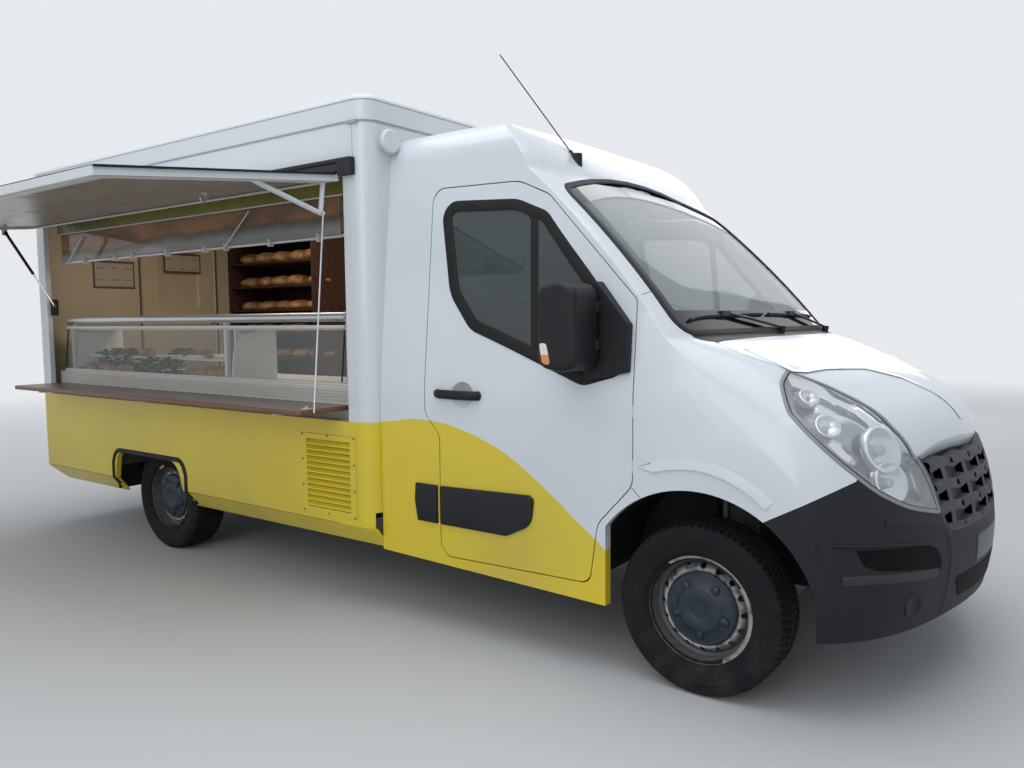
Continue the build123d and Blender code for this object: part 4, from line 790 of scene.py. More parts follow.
def wheel_steel_finish():
    """Grey paint worn through by the radius from the nearest axle's line."""
    finish = Finish("wheel_steel", (0.1, 0.105, 0.11), 0.5, Metallic=0.3)
    along = finish.x + (finish.x < -1.8) * -REAR_AXLE
    drop = finish.z - AXLE_HEIGHT
    radius = wired(finish.tree, "SQRT", along * along + drop * drop)
    cloud = finish.noise(22, 6)
    lip = radius.ramp(0.196, 0.204)
    ring = radius.ramp(0.14, 0.15) * (1 - radius.ramp(0.16, 0.176))
    worn = ((lip * 0.75 + ring) * cloud.ramp(0.34, 0.5)).least(1)
    rust = finish.noise(38, 4).ramp(0.56, 0.68) * (0.25 + worn * 0.5)
    base = finish.mix((0.1, 0.105, 0.11), (0.42, 0.42, 0.41), worn)
    finish.tint(base, (0.12, 0.055, 0.025), rust)
    finish.put("Roughness", 0.45 + cloud * 0.25)
    return finish.bump(cloud, 0.0006)


def cap_finish():
    """Blue-black plastic, dusty in patches."""
    colour = (0.01, 0.02, 0.03)
    finish = Finish("wheel_cap_plastic", colour, 0.42)
    cloud = finish.noise(16, 5)
    finish.tint(colour, (0.07, 0.08, 0.09), cloud.ramp(0.5, 0.85) * 0.3)
    finish.put("Roughness", 0.36 + cloud * 0.25)
    return finish.bump(finish.noise(350, 2), 0.0003)


wheel_steel = wheel_steel_finish()
wheel_cap = cap_finish()

# %% [markdown]
# The rim is CAD's own spun section with its vent holes. Its cap gets five pressed humps where the bolt
# heads are, a raised lip and a plain centre disc.

# %% Rims and caps
CAP_PROFILE = (
    (0.048, 0.001), (0.048, 0.1455), (0.0583, 0.1458), (0.0615, 0.1425), (0.0645, 0.139), (0.0632, 0.135),
    (0.064, 0.131), (0.0672, 0.101), (0.07, 0.096), (0.079, 0.088), (0.0812, 0.082), (0.0815, 0.035),
    (0.08, 0.033), (0.08, 0.03), (0.0825, 0.028), (0.0829, 0.001),
)
for name, centre in WHEELS.items():
    out = Vector((0, 1 if centre.y > 0 else -1, 0))
    node, wheel = f"rim_{name}", f"wheel_{name}"
    rim = merged(node)
    cap_faces = []
    for face in rim.faces:
        middle = face.calc_center_median() - SHIFT - centre
        if math.hypot(middle.x, middle.z) < 0.147 and middle.dot(out) > 0.0478:
            cap_faces.append(face)
    bmesh.ops.delete(rim, geom=cap_faces, context="FACES")
    bmesh.ops.translate(rim, verts=rim.verts, vec=-SHIFT)
    ring = finished(node + "_steel", rim, wheel_steel, wheel, smooth=40, bevel=0.0015)

    bm = bmesh.new()
    add_spun(bm, CAP_PROFILE, centre, out, (0, 0, 1), 96)
    for i in range(5):
        turn = Matrix.Rotation(math.tau * (i + 0.5) / 5, 3, "Y")
        spot = centre + out * 0.07 + turn @ Vector((0, 0, 0.101))
        hump = bmesh.ops.create_uvsphere(bm, u_segments=16, v_segments=8, radius=1)["verts"]
        scale = Matrix.Diagonal((0.017, 0.009, 0.024))
        bmesh.ops.transform(bm, matrix=Matrix.Translation(spot) @ (turn @ scale).to_4x4(), verts=hump)
    cap = finished(node + "_cap", bm, wheel_cap, wheel, smooth=40)

    bm = bmesh.new()
    valve = centre + out * 0.05 + Matrix.Rotation(0.5, 3, "Y") @ Vector((0, 0, 0.178))
    add_bar(bm, valve - out * 0.02, valve + out * 0.012, 0.0055, 12)
    add_bar(bm, valve + out * 0.012, valve + out * 0.022, 0.0045, 12)
    finished(node + "_valve", bm, seal_rubber, wheel)
    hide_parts(node)
    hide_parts(node)
print("wheels dressed")

# %% [markdown]
# ## Glass edges
# The windscreen is bonded: a black ceramic band hides the glue, and a rubber lip covers the joint. The band
# is part of the glass material, drawn by the distance to the screen's edge. The door glass sits behind a
# thick black rubber frame, with a divider bar near the front.

# %% Windscreen band and seal
SCREEN_FOOT = 1.418
SCREEN = (
    (-0.925, SCREEN_FOOT, 0.06), (0.925, SCREEN_FOOT, 0.06), (0.85, 2.04, 0.08), (0.0, 2.23, 3.0),
    (-0.85, 2.04, 0.08),
)


def screen_finish():
    """Window glass with the black band at its edge."""
    finish = Finish("screen_glass", (0.34, 0.42, 0.42), 0.03)
    foot = finish.z - SCREEN_FOOT
    side = 0.925 - foot * 0.1206 - abs(finish.y)
    top = 2.156 - finish.y * finish.y * 0.165 - finish.z
    band = 1 - (side.ramp(0.046, 0.052) * top.ramp(0.075, 0.083) * foot.ramp(0.085, 0.09))
    finish.tint((0.36, 0.44, 0.44), (0.012, 0.012, 0.014), band)
    finish.put("Alpha", 0.32 + band * 0.66)
    finish.put("Roughness", 0.03 + finish.noise(6, 3).ramp(0.55, 0.9) * 0.05)
    return finish.material


dressed("windscreen", screen_finish(), bevel=0.0)
rim = outlined([(u * 1.004, v + (0.004 if v > 1.5 else -0.004), r) for u, v, r in SCREEN], 0.05)
rim = on_skin(skin_tree("cab_shell", "scuttle", "front_wings"), [(0, y, z) for y, z in rim], (-1, 0, 0))
LIP = ((-0.016, -0.003), (0.005, -0.003), (0.005, 0.001), (0.0, 0.0035), (-0.012, 0.003), (-0.016, 0.0))
bm = bmesh.new()
for flip in (1, -1):
    # outward at the windscreen is forward and up, turned to the side near the pillars
    lip = [(a * flip, b) for a, b in LIP]
    add_sweep(bm, rim, lip, lambda point: (0.74, point.y * 0.28, 0.62), closed=True)
finished("windscreen_seal", bm, seal_rubber, smooth=50)
print("seal points", len(rim))

# %% Door windows
WINDOW = (
    (-1.205, 1.6, 0.2), (-1.08, 1.44, 0.12), (-0.47, 1.215, 0.06), (-0.305, 1.262, 0.05),
    (-0.305, 1.44, 0.04), (-0.7, 1.925, 0.09), (-0.86, 1.99, 0.2), (-1.278, 2.008, 0.06),
)
middle = Vector((-0.8, 0, 1.65))
for side, hand in SIDES.items():
    edge = []
    for x, z in outlined(WINDOW, 0.06):
        place = Vector((x, 0, z))
        edge.append(place + (place - middle).normalized() * 0.006)
    inner = []
    for point in on_skin(door_skin[side], edge, (0, -side, 0)):
        toward = middle - point
        toward.y = 0
        inner.append(point + toward.normalized() * 0.02)
    out = Vector((0.04, side, 0.1))
    bm = bmesh.new()
    add_sweep(bm, inner, even((0.0255, -0.006), (0.0255, 0.001), (0.0195, 0.003)), out, closed=True)
    foot, head = Vector((-0.728, 0, 1.33)), Vector((-0.766, 0, 1.985))
    divider = [foot.lerp(head, k / 8) for k in range(9)]
    divider = on_skin(skin_tree(f"door_glass_{hand}"), divider, (0, -side, 0))
    add_sweep(bm, divider, even((0.018, -0.004), (0.018, 0.003)), out)
    finished(f"door_{hand}_window_rubber", bm, seal_rubber, BODY_OF[f"door_{hand}"], smooth=50)
print("door windows edged")

# %% [markdown]
# ## Door furniture
# The handle is a black bar over a round cup pressed into the door. The rub strip is a black moulding along
# the door's waist, cut at an angle ahead of the wheel and split at the door's rear edge. Both are drawn on
# the near door and repeated on the far one.

# %% Door handles and rub strips
HANDLE_HEIGHT = 1.134
RUB_STRIP = (
    (-1.252, 0.52, 0.01), (-0.868, 0.52, 0.05), (-0.735, 0.585, 0.08), (-0.722, 0.7, 0.015),
    (-0.745, 0.716, 0.012), (-1.252, 0.7, 0.008),
)
REAR_STRIP = ((-1.395, 0.52), (-1.272, 0.52), (-1.272, 0.7), (-1.405, 0.7), (-1.412, 0.62))
GRIP = (
    # x, height above the door's skin
    (-1.268, 0.004), (-1.255, 0.014), (-1.235, 0.024), (-1.16, 0.03), (-1.08, 0.03), (-1.04, 0.024),
    (-1.022, 0.012), (-1.014, 0.004),
)
SEAM = even((0.0012, -0.003), (0.0012, 0.0006))


def cup_shade_finish():
    """Body paint with painted shade in the handle's cup: darker than the door, and darkest towards its top.
    """
    finish = Finish("handle_cup_painted_shade", (0.58, 0.62, 0.66), 0.35, Coat_Weight=0.3)
    # painted shade: the paint goes from pale at the cup's foot to dark under its upper lip
    depth = (finish.z - HANDLE_HEIGHT).ramp(-0.055, 0.055)
    shade = depth * 0.8 + finish.noise(30, 3) * 0.1
    finish.tint((0.62, 0.66, 0.7), (0.16, 0.17, 0.19), shade)
    return finish.material


handle_cup = cup_shade_finish()
for side, hand in SIDES.items():
    name, tree = f"door_{hand}", door_skin[side]
    body = BODY_OF[name]
    out = Vector((0, side, 0))
    bm = bmesh.new()
    centre = on_side(tree, [(-1.116, HANDLE_HEIGHT)], side)[0]
    ring = [(centre.x + 0.06 * a, centre.z + 0.056 * b) for a, b in round_section(1, 28)]
    add_sweep(bm, on_side(tree, ring, side), even((0.004, -0.002), (0.003, 0.002)), out, closed=True)
    cup = bmesh.ops.create_uvsphere(bm, u_segments=28, v_segments=14, radius=1)["verts"]
    squash = Matrix.Translation(centre + out * 0.0005) @ Matrix.Diagonal((0.058, 0.0035, 0.054, 1))
    bmesh.ops.transform(bm, matrix=squash, verts=cup)
    finished(f"{name}_handle_cup", bm, handle_cup, body, smooth=60)

    bm = bmesh.new()
    grip = on_side(tree, [(x, HANDLE_HEIGHT) for x, _ in GRIP], side)
    grip = [point + out * rise for point, (_, rise) in zip(grip, GRIP)]
    add_sweep(bm, grip, round_section(0.021, 12, 0.01 / 0.021), out)
    for x, start, end, radius, sides in (
        (-1.258, -0.004, 0.014, 0.02, 20), (-1.026, -0.004, 0.014, 0.02, 20),
        (-1.236, 0.02, 0.0345, 0.01, 18),
    ):
        post = on_side(tree, [(x, HANDLE_HEIGHT)], side)[0]
        add_bar(bm, post + out * start, post + out * end, radius, sides)
    finished(f"{name}_handle", bm, black_plastic, body, smooth=50)

    for tag, skin, line, carrier in (
        (f"{name}_rub_strip", tree, outlined(RUB_STRIP, 0.06), body),
        (f"rear_rub_strip_{hand}", cab_skin, REAR_STRIP, "vehicle"),
    ):
        bm = bmesh.new()
        add_plate(bm, on_side(skin, line, side, -0.003), out * 0.0155, brim=0.01)
        finished(tag, bm, bumper_plastic, carrier, smooth=30, bevel=0.003)

    bm = bmesh.new()
    for start, end in (
        ((-0.62, 2.03), (-0.655, 2.065)), ((-0.253, 1.552), (-0.225, 1.58)),
        ((-0.252, 0.806), (-0.215, 0.772)),
    ):
        add_sweep(bm, on_side(cab_skin, resampled((start, end), 0.012, closed=False), side), SEAM, out)
    finished(f"pillar_seams_{hand}", bm, seal_rubber)
print("handles, rub strips and seams fitted")

# %% [markdown]
# ## Mirrors, wipers and what shows through the glass
# The mirror's glass looks back in its housing, and a clear and amber lamp sits low on the housing's outer
# face. Two long wipers rest on the scuttle. Inside hang a mirror and two sun visors.

# %% Mirrors


def lamp_amber():
    """Clear lens over amber, split across its height."""
    finish = Finish("mirror_lamp_lens", (0.75, 0.28, 0.05), 0.12, Coat_Weight=0.6)
    ribs = (finish.z * 900).wave().ramp(-1, 1)
    upper = finish.z.ramp(1.333, 1.337)
    finish.tint((0.75, 0.25, 0.04), (0.82, 0.8, 0.76), upper * 0.9 + ribs * 0.08)
    return finish.bump(ribs, 0.0004)


mirror_lamp = lamp_amber()
mirror_face = metal("mirror_silver", (0.72, 0.75, 0.78), 0.03, 1.0, dirt=0.03)
MIRROR_LAMP = ((-0.54, 1.3, 0.016), (-0.5, 1.292, 0.012), (-0.52, 1.378, 0.012), (-0.556, 1.382, 0.012))
for side, hand in SIDES.items():
    body = f"door_{hand}"
    tree = skin_tree(f"mirror_{hand}")
    for z0, z1 in ((1.395, 1.58), (1.3, 1.38)):
        bm = bmesh.new()
        corners = ((1.088, z0), (1.212, z0), (1.212, z1), (1.088, z1))
        outline = rounded_outline([(y, z, 0.02) for y, z in corners], 4)
        base = on_skin(tree, [(0, y * side, z) for y, z in outline], (1, 0, 0), -0.002)
        add_plate(bm, base, (-0.004, 0, 0))
        finished(f"{body}_mirror_glass_{round(z0 * 1000)}", bm, mirror_face, body)
    bm = bmesh.new()
    add_plate(bm, on_side(tree, rounded_outline(MIRROR_LAMP, 4), side, -0.004), (0, side * 0.006, 0))
    finished(f"{body}_mirror_lamp", bm, mirror_lamp, body, smooth=40, bevel=0.002)
print("mirrors glazed")

# %% Wipers, inner mirror and visors
screen_skin = skin_tree("windscreen", "scuttle", "bonnet")


def on_screen(x, y, lift=0.0):
    """The point below (x, y) on the screen and what surrounds it."""
    return on_skin(screen_skin, [(x, y, 1.6)], (0, 0, -1), lift)[0]


for tag, near_end, clip, far_end, pivot in (
    ("right", -0.83, -0.47, 0.0, 0.07), ("left", 0.08, 0.42, 0.76, 0.8),
):
    bm = bmesh.new()
    blade = [on_screen(-0.105, near_end + (far_end - near_end) * k / 10, 0.008) for k in range(11)]
    add_sweep(bm, blade, even((0.004, -0.006), (0.007, 0.002), (0.004, 0.01)), (0.6, 0, 0.8))
    hub, middle = on_screen(-0.035, pivot), on_screen(-0.105, clip, 0.022)
    add_bar(bm, hub - Vector((0, 0, 0.01)), hub + Vector((0.006, 0, 0.03)), 0.017, 20)
    arm = [
        hub.lerp(middle, share) + Vector((0, 0, rise))
        for share, rise in ((0, 0.024), (0.22, 0.02), (0.6, 0.012), (1, 0))
    ]
    add_sweep(bm, arm, even((0.009, -0.005), (0.007, 0.006)), (0.5, 0, 0.85))
    add_block(bm, middle - Vector((0.012, 0.045, 0.016)), middle + Vector((0.012, 0.045, 0.006)))
    finished(f"wiper_{tag}", bm, black_plastic, smooth=40, bevel=0.0015)

bm = bmesh.new()
add_block(bm, (-0.735, -0.125, 1.925), (-0.705, 0.125, 1.995), Matrix.Rotation(-0.35, 3, "Y"))
add_bar(bm, (-0.72, 0, 1.99), (-0.735, 0, 2.085), 0.01, 12)
finished("inner_mirror", bm, dash_plastic, bevel=0.008)
bm = bmesh.new()
for side in SIDES:
    y = side * 0.4
    add_block(bm, (-0.905, y - 0.2, 2.105), (-0.75, y + 0.2, 2.122), Matrix.Rotation(0.4, 3, "Y"))
finished("sun_visors", bm, dash_plastic, bevel=0.008)
print("wipers and visors fitted")

# %% [markdown]
# ## The hatch
# The flap is a sandwich panel: a black rubber edge on top, a white edge profile, and a greyish pressed
# underside that mirrors a little. A black rubber hood covers the hinge. The bracket's plate is screwed
# below the front end.

# %% Hatch flap
FLAP_TURN = math.radians(-6.1)
FLAP_FRONT, FLAP_REAR, FLAP_REACH = -1.806, -4.924, 1.198
HINGE = Vector((0, -1.118, 2.187))


def on_flap(x, reach, drop):
    """A point of the open flap: reach from the hinge, drop below its top face."""
    return Vector((
        x, HINGE.y - reach * math.cos(FLAP_TURN) - drop * math.sin(FLAP_TURN),
        HINGE.z + reach * math.sin(FLAP_TURN) - drop * math.cos(FLAP_TURN),
    ))


def flap_underside():
    """Pressed sheet, beige-grey and satin, with long soft waves and hand marks."""
    finish = Finish("flap_underside", (0.3, 0.275, 0.24), 0.38, Metallic=0.35)
    waves = finish.noise(1.1, 3, (1, 3, 1))
    marks = finish.noise(7, 5).ramp(0.5, 0.85)
    shade = marks * 0.5 + waves.ramp(0.4, 0.7) * 0.25
    finish.tint((0.33, 0.3, 0.265), (0.17, 0.15, 0.13), shade)
    finish.put("Roughness", 0.3 + marks * 0.2)
    return finish.bump(waves, 0.004, 0.6)


def flap_face(face, _):
    """0 the white edges and top, 1 the sheet below."""
    return int(face.normal.z < -0.8 and face.calc_area() > 0.3)


dressed("hatch_flap", [white_panel, flap_underside()], 0.002, flap_face)
bm = bmesh.new()
edge = [on_flap(x, reach, -0.001) for x, reach in (
    (FLAP_FRONT, 0.03), (FLAP_FRONT, FLAP_REACH), (FLAP_REAR, FLAP_REACH), (FLAP_REAR, 0.03),
)]
section = [(-0.01, -0.007), (0.002, -0.007), (0.002, 0.002), (-0.01, 0.002)]
add_sweep(bm, resampled(edge, 0.3, closed=False), section, (0, 0, 1))
finished("flap_rubber_edge", bm, seal_rubber, "hatch")
bm = bmesh.new()
front, rear, lip = FLAP_FRONT - 0.03, FLAP_REAR + 0.03, FLAP_REACH - 0.03
for start, end in (
    ((front, 0.06), (front, FLAP_REACH - 0.02)), ((rear, 0.06), (rear, FLAP_REACH - 0.02)),
    ((front, lip), (rear, lip)),
):
    ends = [on_flap(*start, 0.038), on_flap(*end, 0.038)]
    add_sweep(bm, ends, even((0.016, -0.004), (0.016, 0.003)), (0, 0, 1))
ends = [on_flap(FLAP_FRONT - 0.05, 0.052, 0.036), on_flap(FLAP_REAR + 0.05, 0.052, 0.036)]
add_sweep(bm, ends, round_section(0.007), (0, 0, 1))
for x in (front, rear):
    for k in range(6):
        spot = on_flap(x, 0.12 + 0.205 * k, 0.0405)
        add_bar(bm, spot, spot + Vector((0, 0, -0.0035)), 0.0055, 10)
finished("flap_edge_profile", bm, cream_alloy, "hatch", bevel=0.0015)
bm = bmesh.new()
hook = on_flap(-2.42, 0.33, 0.036)
add_block(bm, hook + Vector((-0.02, -0.012, -0.006)), hook + Vector((0.02, 0.012, 0.004)))
bend = ((0, 0), (0, -0.03), (-0.012, -0.045), (-0.028, -0.04), (-0.034, -0.024))
add_sweep(bm, [hook + Vector((0, y, z)) for y, z in bend], round_section(0.004, 8), (1, 0, 0))
finished("flap_hook", bm, alloy, "hatch")
print("flap dressed")

# %% [markdown]
# The hinge hood is soft black rubber, open below, that sags a little over the hinge. It keeps rain out.

# %% Hinge hood
hood_rubber = rubber("hood_rubber", (0.03, 0.031, 0.034), 0.6)


def hood_face(_, middle):
    """Above the hinge all is rubber, and so is the box that holds the strut's foot."""
    return int(middle.z > 2.17 or (middle.x < -4.8 and 1.525 < middle.z < 1.655 and middle.y < -1.03))


dressed("hatch_frame", [cream_alloy, hood_rubber], 0.0015, hood_face)
bm = bmesh.new()
line = [(x, -1.1005, 2.2) for x in (-1.714, -2.4, -3.2, -4.0, -4.965)]
add_sweep(bm, line, [
    (-0.008, -0.0005), (0.052, -0.0005), (0.055, 0.004), (0.045, 0.024), (0.02, 0.033), (-0.004, 0.033),
    (-0.004, 0.028), (0.018, 0.028), (0.038, 0.018), (0.044, 0.004), (-0.008, 0.004),
], (0, -1, 0))
finished("hinge_hood", bm, hood_rubber, smooth=50)
print("hood fitted")

# %% [markdown]
# ## Behind the hatch
# An olive header board runs along the top of the opening, with a pale edge. Below it hangs a glass pane on
# a rail with small clips and two stays. Its finish holds a painted reflection of houses and the street: a
# warm upper band and a cool lower one, drawn by height and noise only.

# %% Header board and hanging pane


def header_finish():
    """Olive-yellow board, glossy, darker and duller in patches."""
    finish = Finish("header_board", (0.2, 0.19, 0.035), 0.25)
    patch = finish.noise(2.2, 3, (0.5, 1, 1)).ramp(0.35, 0.7)
    finish.tint((0.26, 0.245, 0.04), (0.12, 0.125, 0.035), patch)
    finish.put("Roughness", 0.22 + finish.noise(12, 3) * 0.12)
    return finish.material


def pane_finish():
    """Glass with a painted reflection: brick above and a pale van below."""
    finish = Finish("hanging_pane_painted_reflection", (0.45, 0.3, 0.2), 0.06)
    # painted reflection: warm brick tones above a wavy line, the cool grey of a pale van below it
    sway = finish.z + (finish.noise(1.3, 3, (1, 0, 0.6)) - 0.5) * 0.16
    warm = sway.ramp(1.985, 2.01)
    patch = finish.noise(3.0, 4, (1.0, 1, 2.2)).ramp(0.38, 0.66)
    high = finish.mix((0.42, 0.21, 0.095), (0.19, 0.11, 0.065), patch)
    lower = finish.mix((0.4, 0.42, 0.42), (0.15, 0.13, 0.1), sway.ramp(1.94, 1.99))
    finish.tint(lower, high, warm)
    finish.put("Alpha", 0.62 + warm * 0.22)
    return finish.material


header_board = header_finish()


def pane_face(_, middle):
    """0 the pane's glass, 1 the board that holds it, 2 its rail."""
    return 1 if middle.z > 2.166 else 0 if middle.z > 1.916 else 2


dressed("hanging_glass", [pane_finish(), header_board, alloy], 0.0, pane_face)
bm = bmesh.new()
add_block(bm, (-4.87, -1.03, 2.108), (-1.88, -1.024, 2.19))
finished("header_board", bm, header_board)
bm = bmesh.new()
add_sweep(bm, [(-4.87, -1.03, 2.106), (-1.88, -1.03, 2.106)], round_section(0.0055, 8), (0, -1, 0))
for x in (-4.52, -4.115, -3.9, -3.5, -3.1, -2.89, -2.486, -2.083):
    add_block(bm, (x - 0.01, -1.028, 1.884), (x + 0.01, -0.998, 1.926))
    add_bar(bm, (x, -1.032, 1.916), (x, -1.026, 1.916), 0.005, 10)
finished("pane_clips", bm, cream_alloy, bevel=0.0015)
bm = bmesh.new()
for x0, z0, x1 in ((-2.653, 2.09, -2.888), (-4.539, 2.07, -4.746)):
    add_bar(bm, (x0, -1.022, z0), (x1, -1.022, 1.905), 0.0045, 10)
bend = (
    (-1.915, -1.007, 1.905), (-1.885, -1.012, 1.908), (-1.862, -1.02, 1.922), (-1.85, -1.03, 1.948),
    (-1.838, -1.045, 1.955),
)
add_sweep(bm, bend, round_section(0.006, 8), (0, -0.3, 1))
finished("pane_stays", bm, alloy, smooth=50)
print("pane hung")

# %% [markdown]
# The box is lined with beige board. A dark cover strip and two framed price lists hang on the rear wall.
# The frames hold plain sheets with rows of grey bars, so that they read as notices without saying anything.

# %% Lining, frames and cover strip
lining_board = sleek("lining_board", (0.52, 0.42, 0.29), 0.45, grain=40)
ceiling_board = sleek("ceiling_board", (0.55, 0.52, 0.46), 0.5, grain=40)
frame_brown = wood("frame_brown", (0.16, 0.085, 0.05), (0.09, 0.045, 0.03), 2.0, 0.4)


def notice_finish(name, left, top, rows):
    """Pale sheet with grey bars in rows."""
    finish = Finish(name, (0.42, 0.36, 0.28), 0.5)
    across = ((finish.y - left) * 9.0).fraction()
    down = ((top - finish.z) * rows).fraction()
    bars = (across > 0.22) * (across < 0.72) * (down > 0.45) * (down < 0.6)
    finish.tint((0.44, 0.38, 0.3), (0.22, 0.17, 0.13), bars * 0.6)
    return finish.material


for name, board, slot, bevel, blocks in (
    ("box_lining", lining_board, "white_panel", 0.0, (
        ((-5.0245, -1.0635, 0.562), (-5.0205, -0.335, 2.41)),
        ((-5.0245, 0.335, 0.562), (-5.0205, 0.46, 2.41)),
        ((-5.0245, -0.335, 2.352), (-5.0205, 0.335, 2.41)), ((-5.02, 1.0605, 2.21), (-1.68, 1.0645, 2.42)),
        ((-3.88, 1.0605, 0.79), (-1.68, 1.0645, 2.21)), ((-1.6795, -1.06, 0.562), (-1.6755, 1.06, 2.42)),
    )),
    ("box_ceiling_lining", ceiling_board, "white_panel", 0.0, (
        ((-5.02, -1.06, 2.516), (-1.68, 1.06, 2.5205)),
    )),
    ("door_cover_strip", frame_brown, None, 0.001, (
        ((-5.0205, -0.352, 0.6), (-5.013, -0.338, 2.35)), ((-5.0205, 0.338, 0.6), (-5.013, 0.352, 2.35)),
        ((-5.0205, -0.352, 2.35), (-5.013, 0.352, 2.364)),
    )),
):
    bm = bmesh.new()
    for low, high in blocks:
        add_block(bm, low, high)
    finished(name, bm, board, bevel=bevel)
for tag, body, x, y0, y1, z0, z1, rows in (
    ("near", "vehicle", -5.02, -0.71, -0.395, 1.75, 1.945, 11.0),
    ("far", "rear_door", -5.0245, -0.125, 0.195, 1.89, 2.035, 13.0),
):
    bm = bmesh.new()
    ring = [(x + 0.003, y, z) for y, z in ((y0, z0), (y1, z0), (y1, z1), (y0, z1))]
    section = [(-0.008, -0.002), (0.008, -0.002), (0.008, 0.006), (0.003, 0.009), (-0.008, 0.006)]
    add_sweep(bm, ring, section, (1, 0, 0), closed=True)
    finished(f"frame_{tag}", bm, frame_brown, body, bevel=0.001)
    bm = bmesh.new()
    add_block(bm, (x + 0.0005, y0 + 0.004, z0 + 0.004), (x + 0.0035, y1 - 0.004, z1 - 0.004))
    finished(f"notice_{tag}", bm, notice_finish(f"notice_{tag}", y0, z1, rows), body)
# the rear door's inner side carries the lining
dressed("rear_door", [box_paint, lining_board], choose=lambda face, _: int(face.normal.x > 0.7))
print("lined")

# %% [markdown]
# ## Counter and goods
# The case has a grey anodised top rail, a cream profile under it, white sills with two grooves, and a white
# curved partition. Loaves, rolls, trays and bunches of greens are simple lumps with a baked crust or leaf
# finish.

# %% Counter
case_white = sleek("case_white", (0.78, 0.78, 0.76), 0.3)


def counter_face(_, middle):
    """0 the wooden carcass, 1 the top rail in alloy, 2 the white case above the deck."""
    if middle.z > 1.462 and middle.y < -0.95:
        return 1
    return 2 if middle.z > 1.094 else 0


dressed("display_counter", [counter_wood, alloy, case_white], 0.0015, counter_face)
bm = bmesh.new()
rail = [(-4.865, -0.99, 1.4455), (-1.925, -0.99, 1.4455)]
add_sweep(bm, rail, even((0.007, -0.004), (0.007, 0.012)), (0, -1, 0))
for z, reach in ((1.121, 1.0165), (1.134, 1.0125), (1.146, 1.0085)):
    add_sweep(bm, [(-4.88, -reach, z), (-1.88, -reach, z)],
              [(-0.0055, 0.0), (0.0055, 0.0), (0.0055, 0.006), (0.002, 0.009), (-0.0055, 0.009)], (0, -1, 0))
finished("counter_profiles", bm, case_white, bevel=0.001)
bm = bmesh.new()
for x in (-4.86, -1.93):
    add_bar(bm, (x, -1.022, 1.16), (x, -0.993, 1.43), 0.0045, 10)
for x in (-3.05, -1.99, -4.8):
    add_block(bm, (x - 0.03, -1.008, 1.463), (x + 0.03, -1.0, 1.471))
finished("counter_stays", bm, black_plastic, bevel=0.001)
bm = bmesh.new()
profile = [(-0.985, 1.122), (-0.965, 1.3), (-0.9, 1.4), (-0.78, 1.428), (-0.66, 1.428), (-0.66, 1.122)]
add_plate(bm, [(-2.93, y, z) for y, z in profile], (0.012, 0, 0))
finished("case_partition", bm, case_white, bevel=0.002)
print("counter dressed")

# %% Goods
dice = random.Random(7)


def crust_finish():
    """Baked crust, browner in patches, with flour."""
    finish = Finish("bread_crust", (0.42, 0.22, 0.09), 0.6)
    bake = finish.noise(18, 5)
    flour = finish.noise(45, 4).ramp(0.58, 0.75)
    crust = finish.mix((0.5, 0.28, 0.12), (0.22, 0.09, 0.035), bake.ramp(0.35, 0.65))
    finish.tint(crust, (0.7, 0.62, 0.5), flour * 0.5)
    return finish.bump(bake, 0.004, 0.8)


def leaf_finish():
    """Bunched leaves, from dark green to olive."""
    finish = Finish("leaf_green", (0.1, 0.13, 0.05), 0.55)
    cloud = finish.noise(30, 4)
    finish.tint((0.045, 0.07, 0.025), (0.2, 0.2, 0.1), cloud.ramp(0.35, 0.7))
    return finish.bump(cloud, 0.003)


def add_loaf(bm, place, size, turn):
    """A loaf: a ball stretched, slashed across the top and flattened below."""
    ball = bmesh.ops.create_icosphere(bm, subdivisions=3, radius=1)["verts"]
    for vert in ball:
        slash = max(0.0, math.cos(vert.co.x * 9)) ** 6 * max(0.0, vert.co.z)
        vert.co *= 1 - 0.1 * slash + dice.uniform(-0.012, 0.012)
        vert.co.z = max(vert.co.z, -0.55)
    middle = Vector(place) + Vector((0, 0, 0.55 * size[2]))
    matrix = Matrix.Translation(middle) @ Matrix.Rotation(turn, 4, "Z") @ Matrix.Diagonal((*size, 1))
    bmesh.ops.transform(bm, matrix=matrix, verts=ball)


def add_leaves(bm, place, spread, count):
    """A bunch of small curled leaves around a point."""
    for _ in range(count):
        leaf = bmesh.ops.create_icosphere(bm, subdivisions=1, radius=1)["verts"]
        spot = Vector([dice.uniform(-s, s) for s in spread])
        spot.z = abs(spot.z)
        turn = Matrix.Rotation(dice.uniform(0, 6.3), 4, "Z") @ Matrix.Rotation(dice.uniform(-1, 1), 4, "X")
        size = Matrix.Diagonal((dice.uniform(0.014, 0.03), dice.uniform(0.01, 0.02), 0.004, 1))
        bmesh.ops.transform(bm, matrix=Matrix.Translation(Vector(place) + spot) @ turn @ size, verts=leaf)


bm = bmesh.new()
for x in (-4.72, -4.5, -4.28, -3.46, -3.28, -3.12):
    for y in (-0.9, -0.76):
        place = (x + dice.uniform(-0.02, 0.02), y, 1.1215)
        add_loaf(bm, place, (0.088, 0.052, 0.045), dice.uniform(-0.4, 0.4))
for x in (-4.6, -4.42, -4.2, -3.7, -3.5):
    add_loaf(bm, (x, -0.77, 1.243), (0.07, 0.045, 0.035), dice.uniform(-0.4, 0.4))
for shelf, high in ((1.176, 0.05), (1.376, 0.055), (1.576, 0.05), (1.776, 0.055), (1.976, 0.06)):
    for k in range(5):
        place = (-4.86 + k * 0.215 + dice.uniform(-0.02, 0.02), 0.62 + dice.uniform(-0.02, 0.02), shelf)
        add_loaf(bm, place, (0.095, 0.13, high), dice.uniform(-0.2, 0.2))
finished("bread", bm, crust_finish(), smooth=60)
bm = bmesh.new()
add_leaves(bm, (-4.45, -0.86, 1.16), (0.2, 0.06, 0.13), 150)
add_leaves(bm, (-3.85, -0.88, 1.13), (0.24, 0.05, 0.11), 190)
add_leaves(bm, (-3.72, -0.8, 1.25), (0.1, 0.04, 0.05), 50)
finished("greens", bm, leaf_finish(), smooth=60)
bm = bmesh.new()
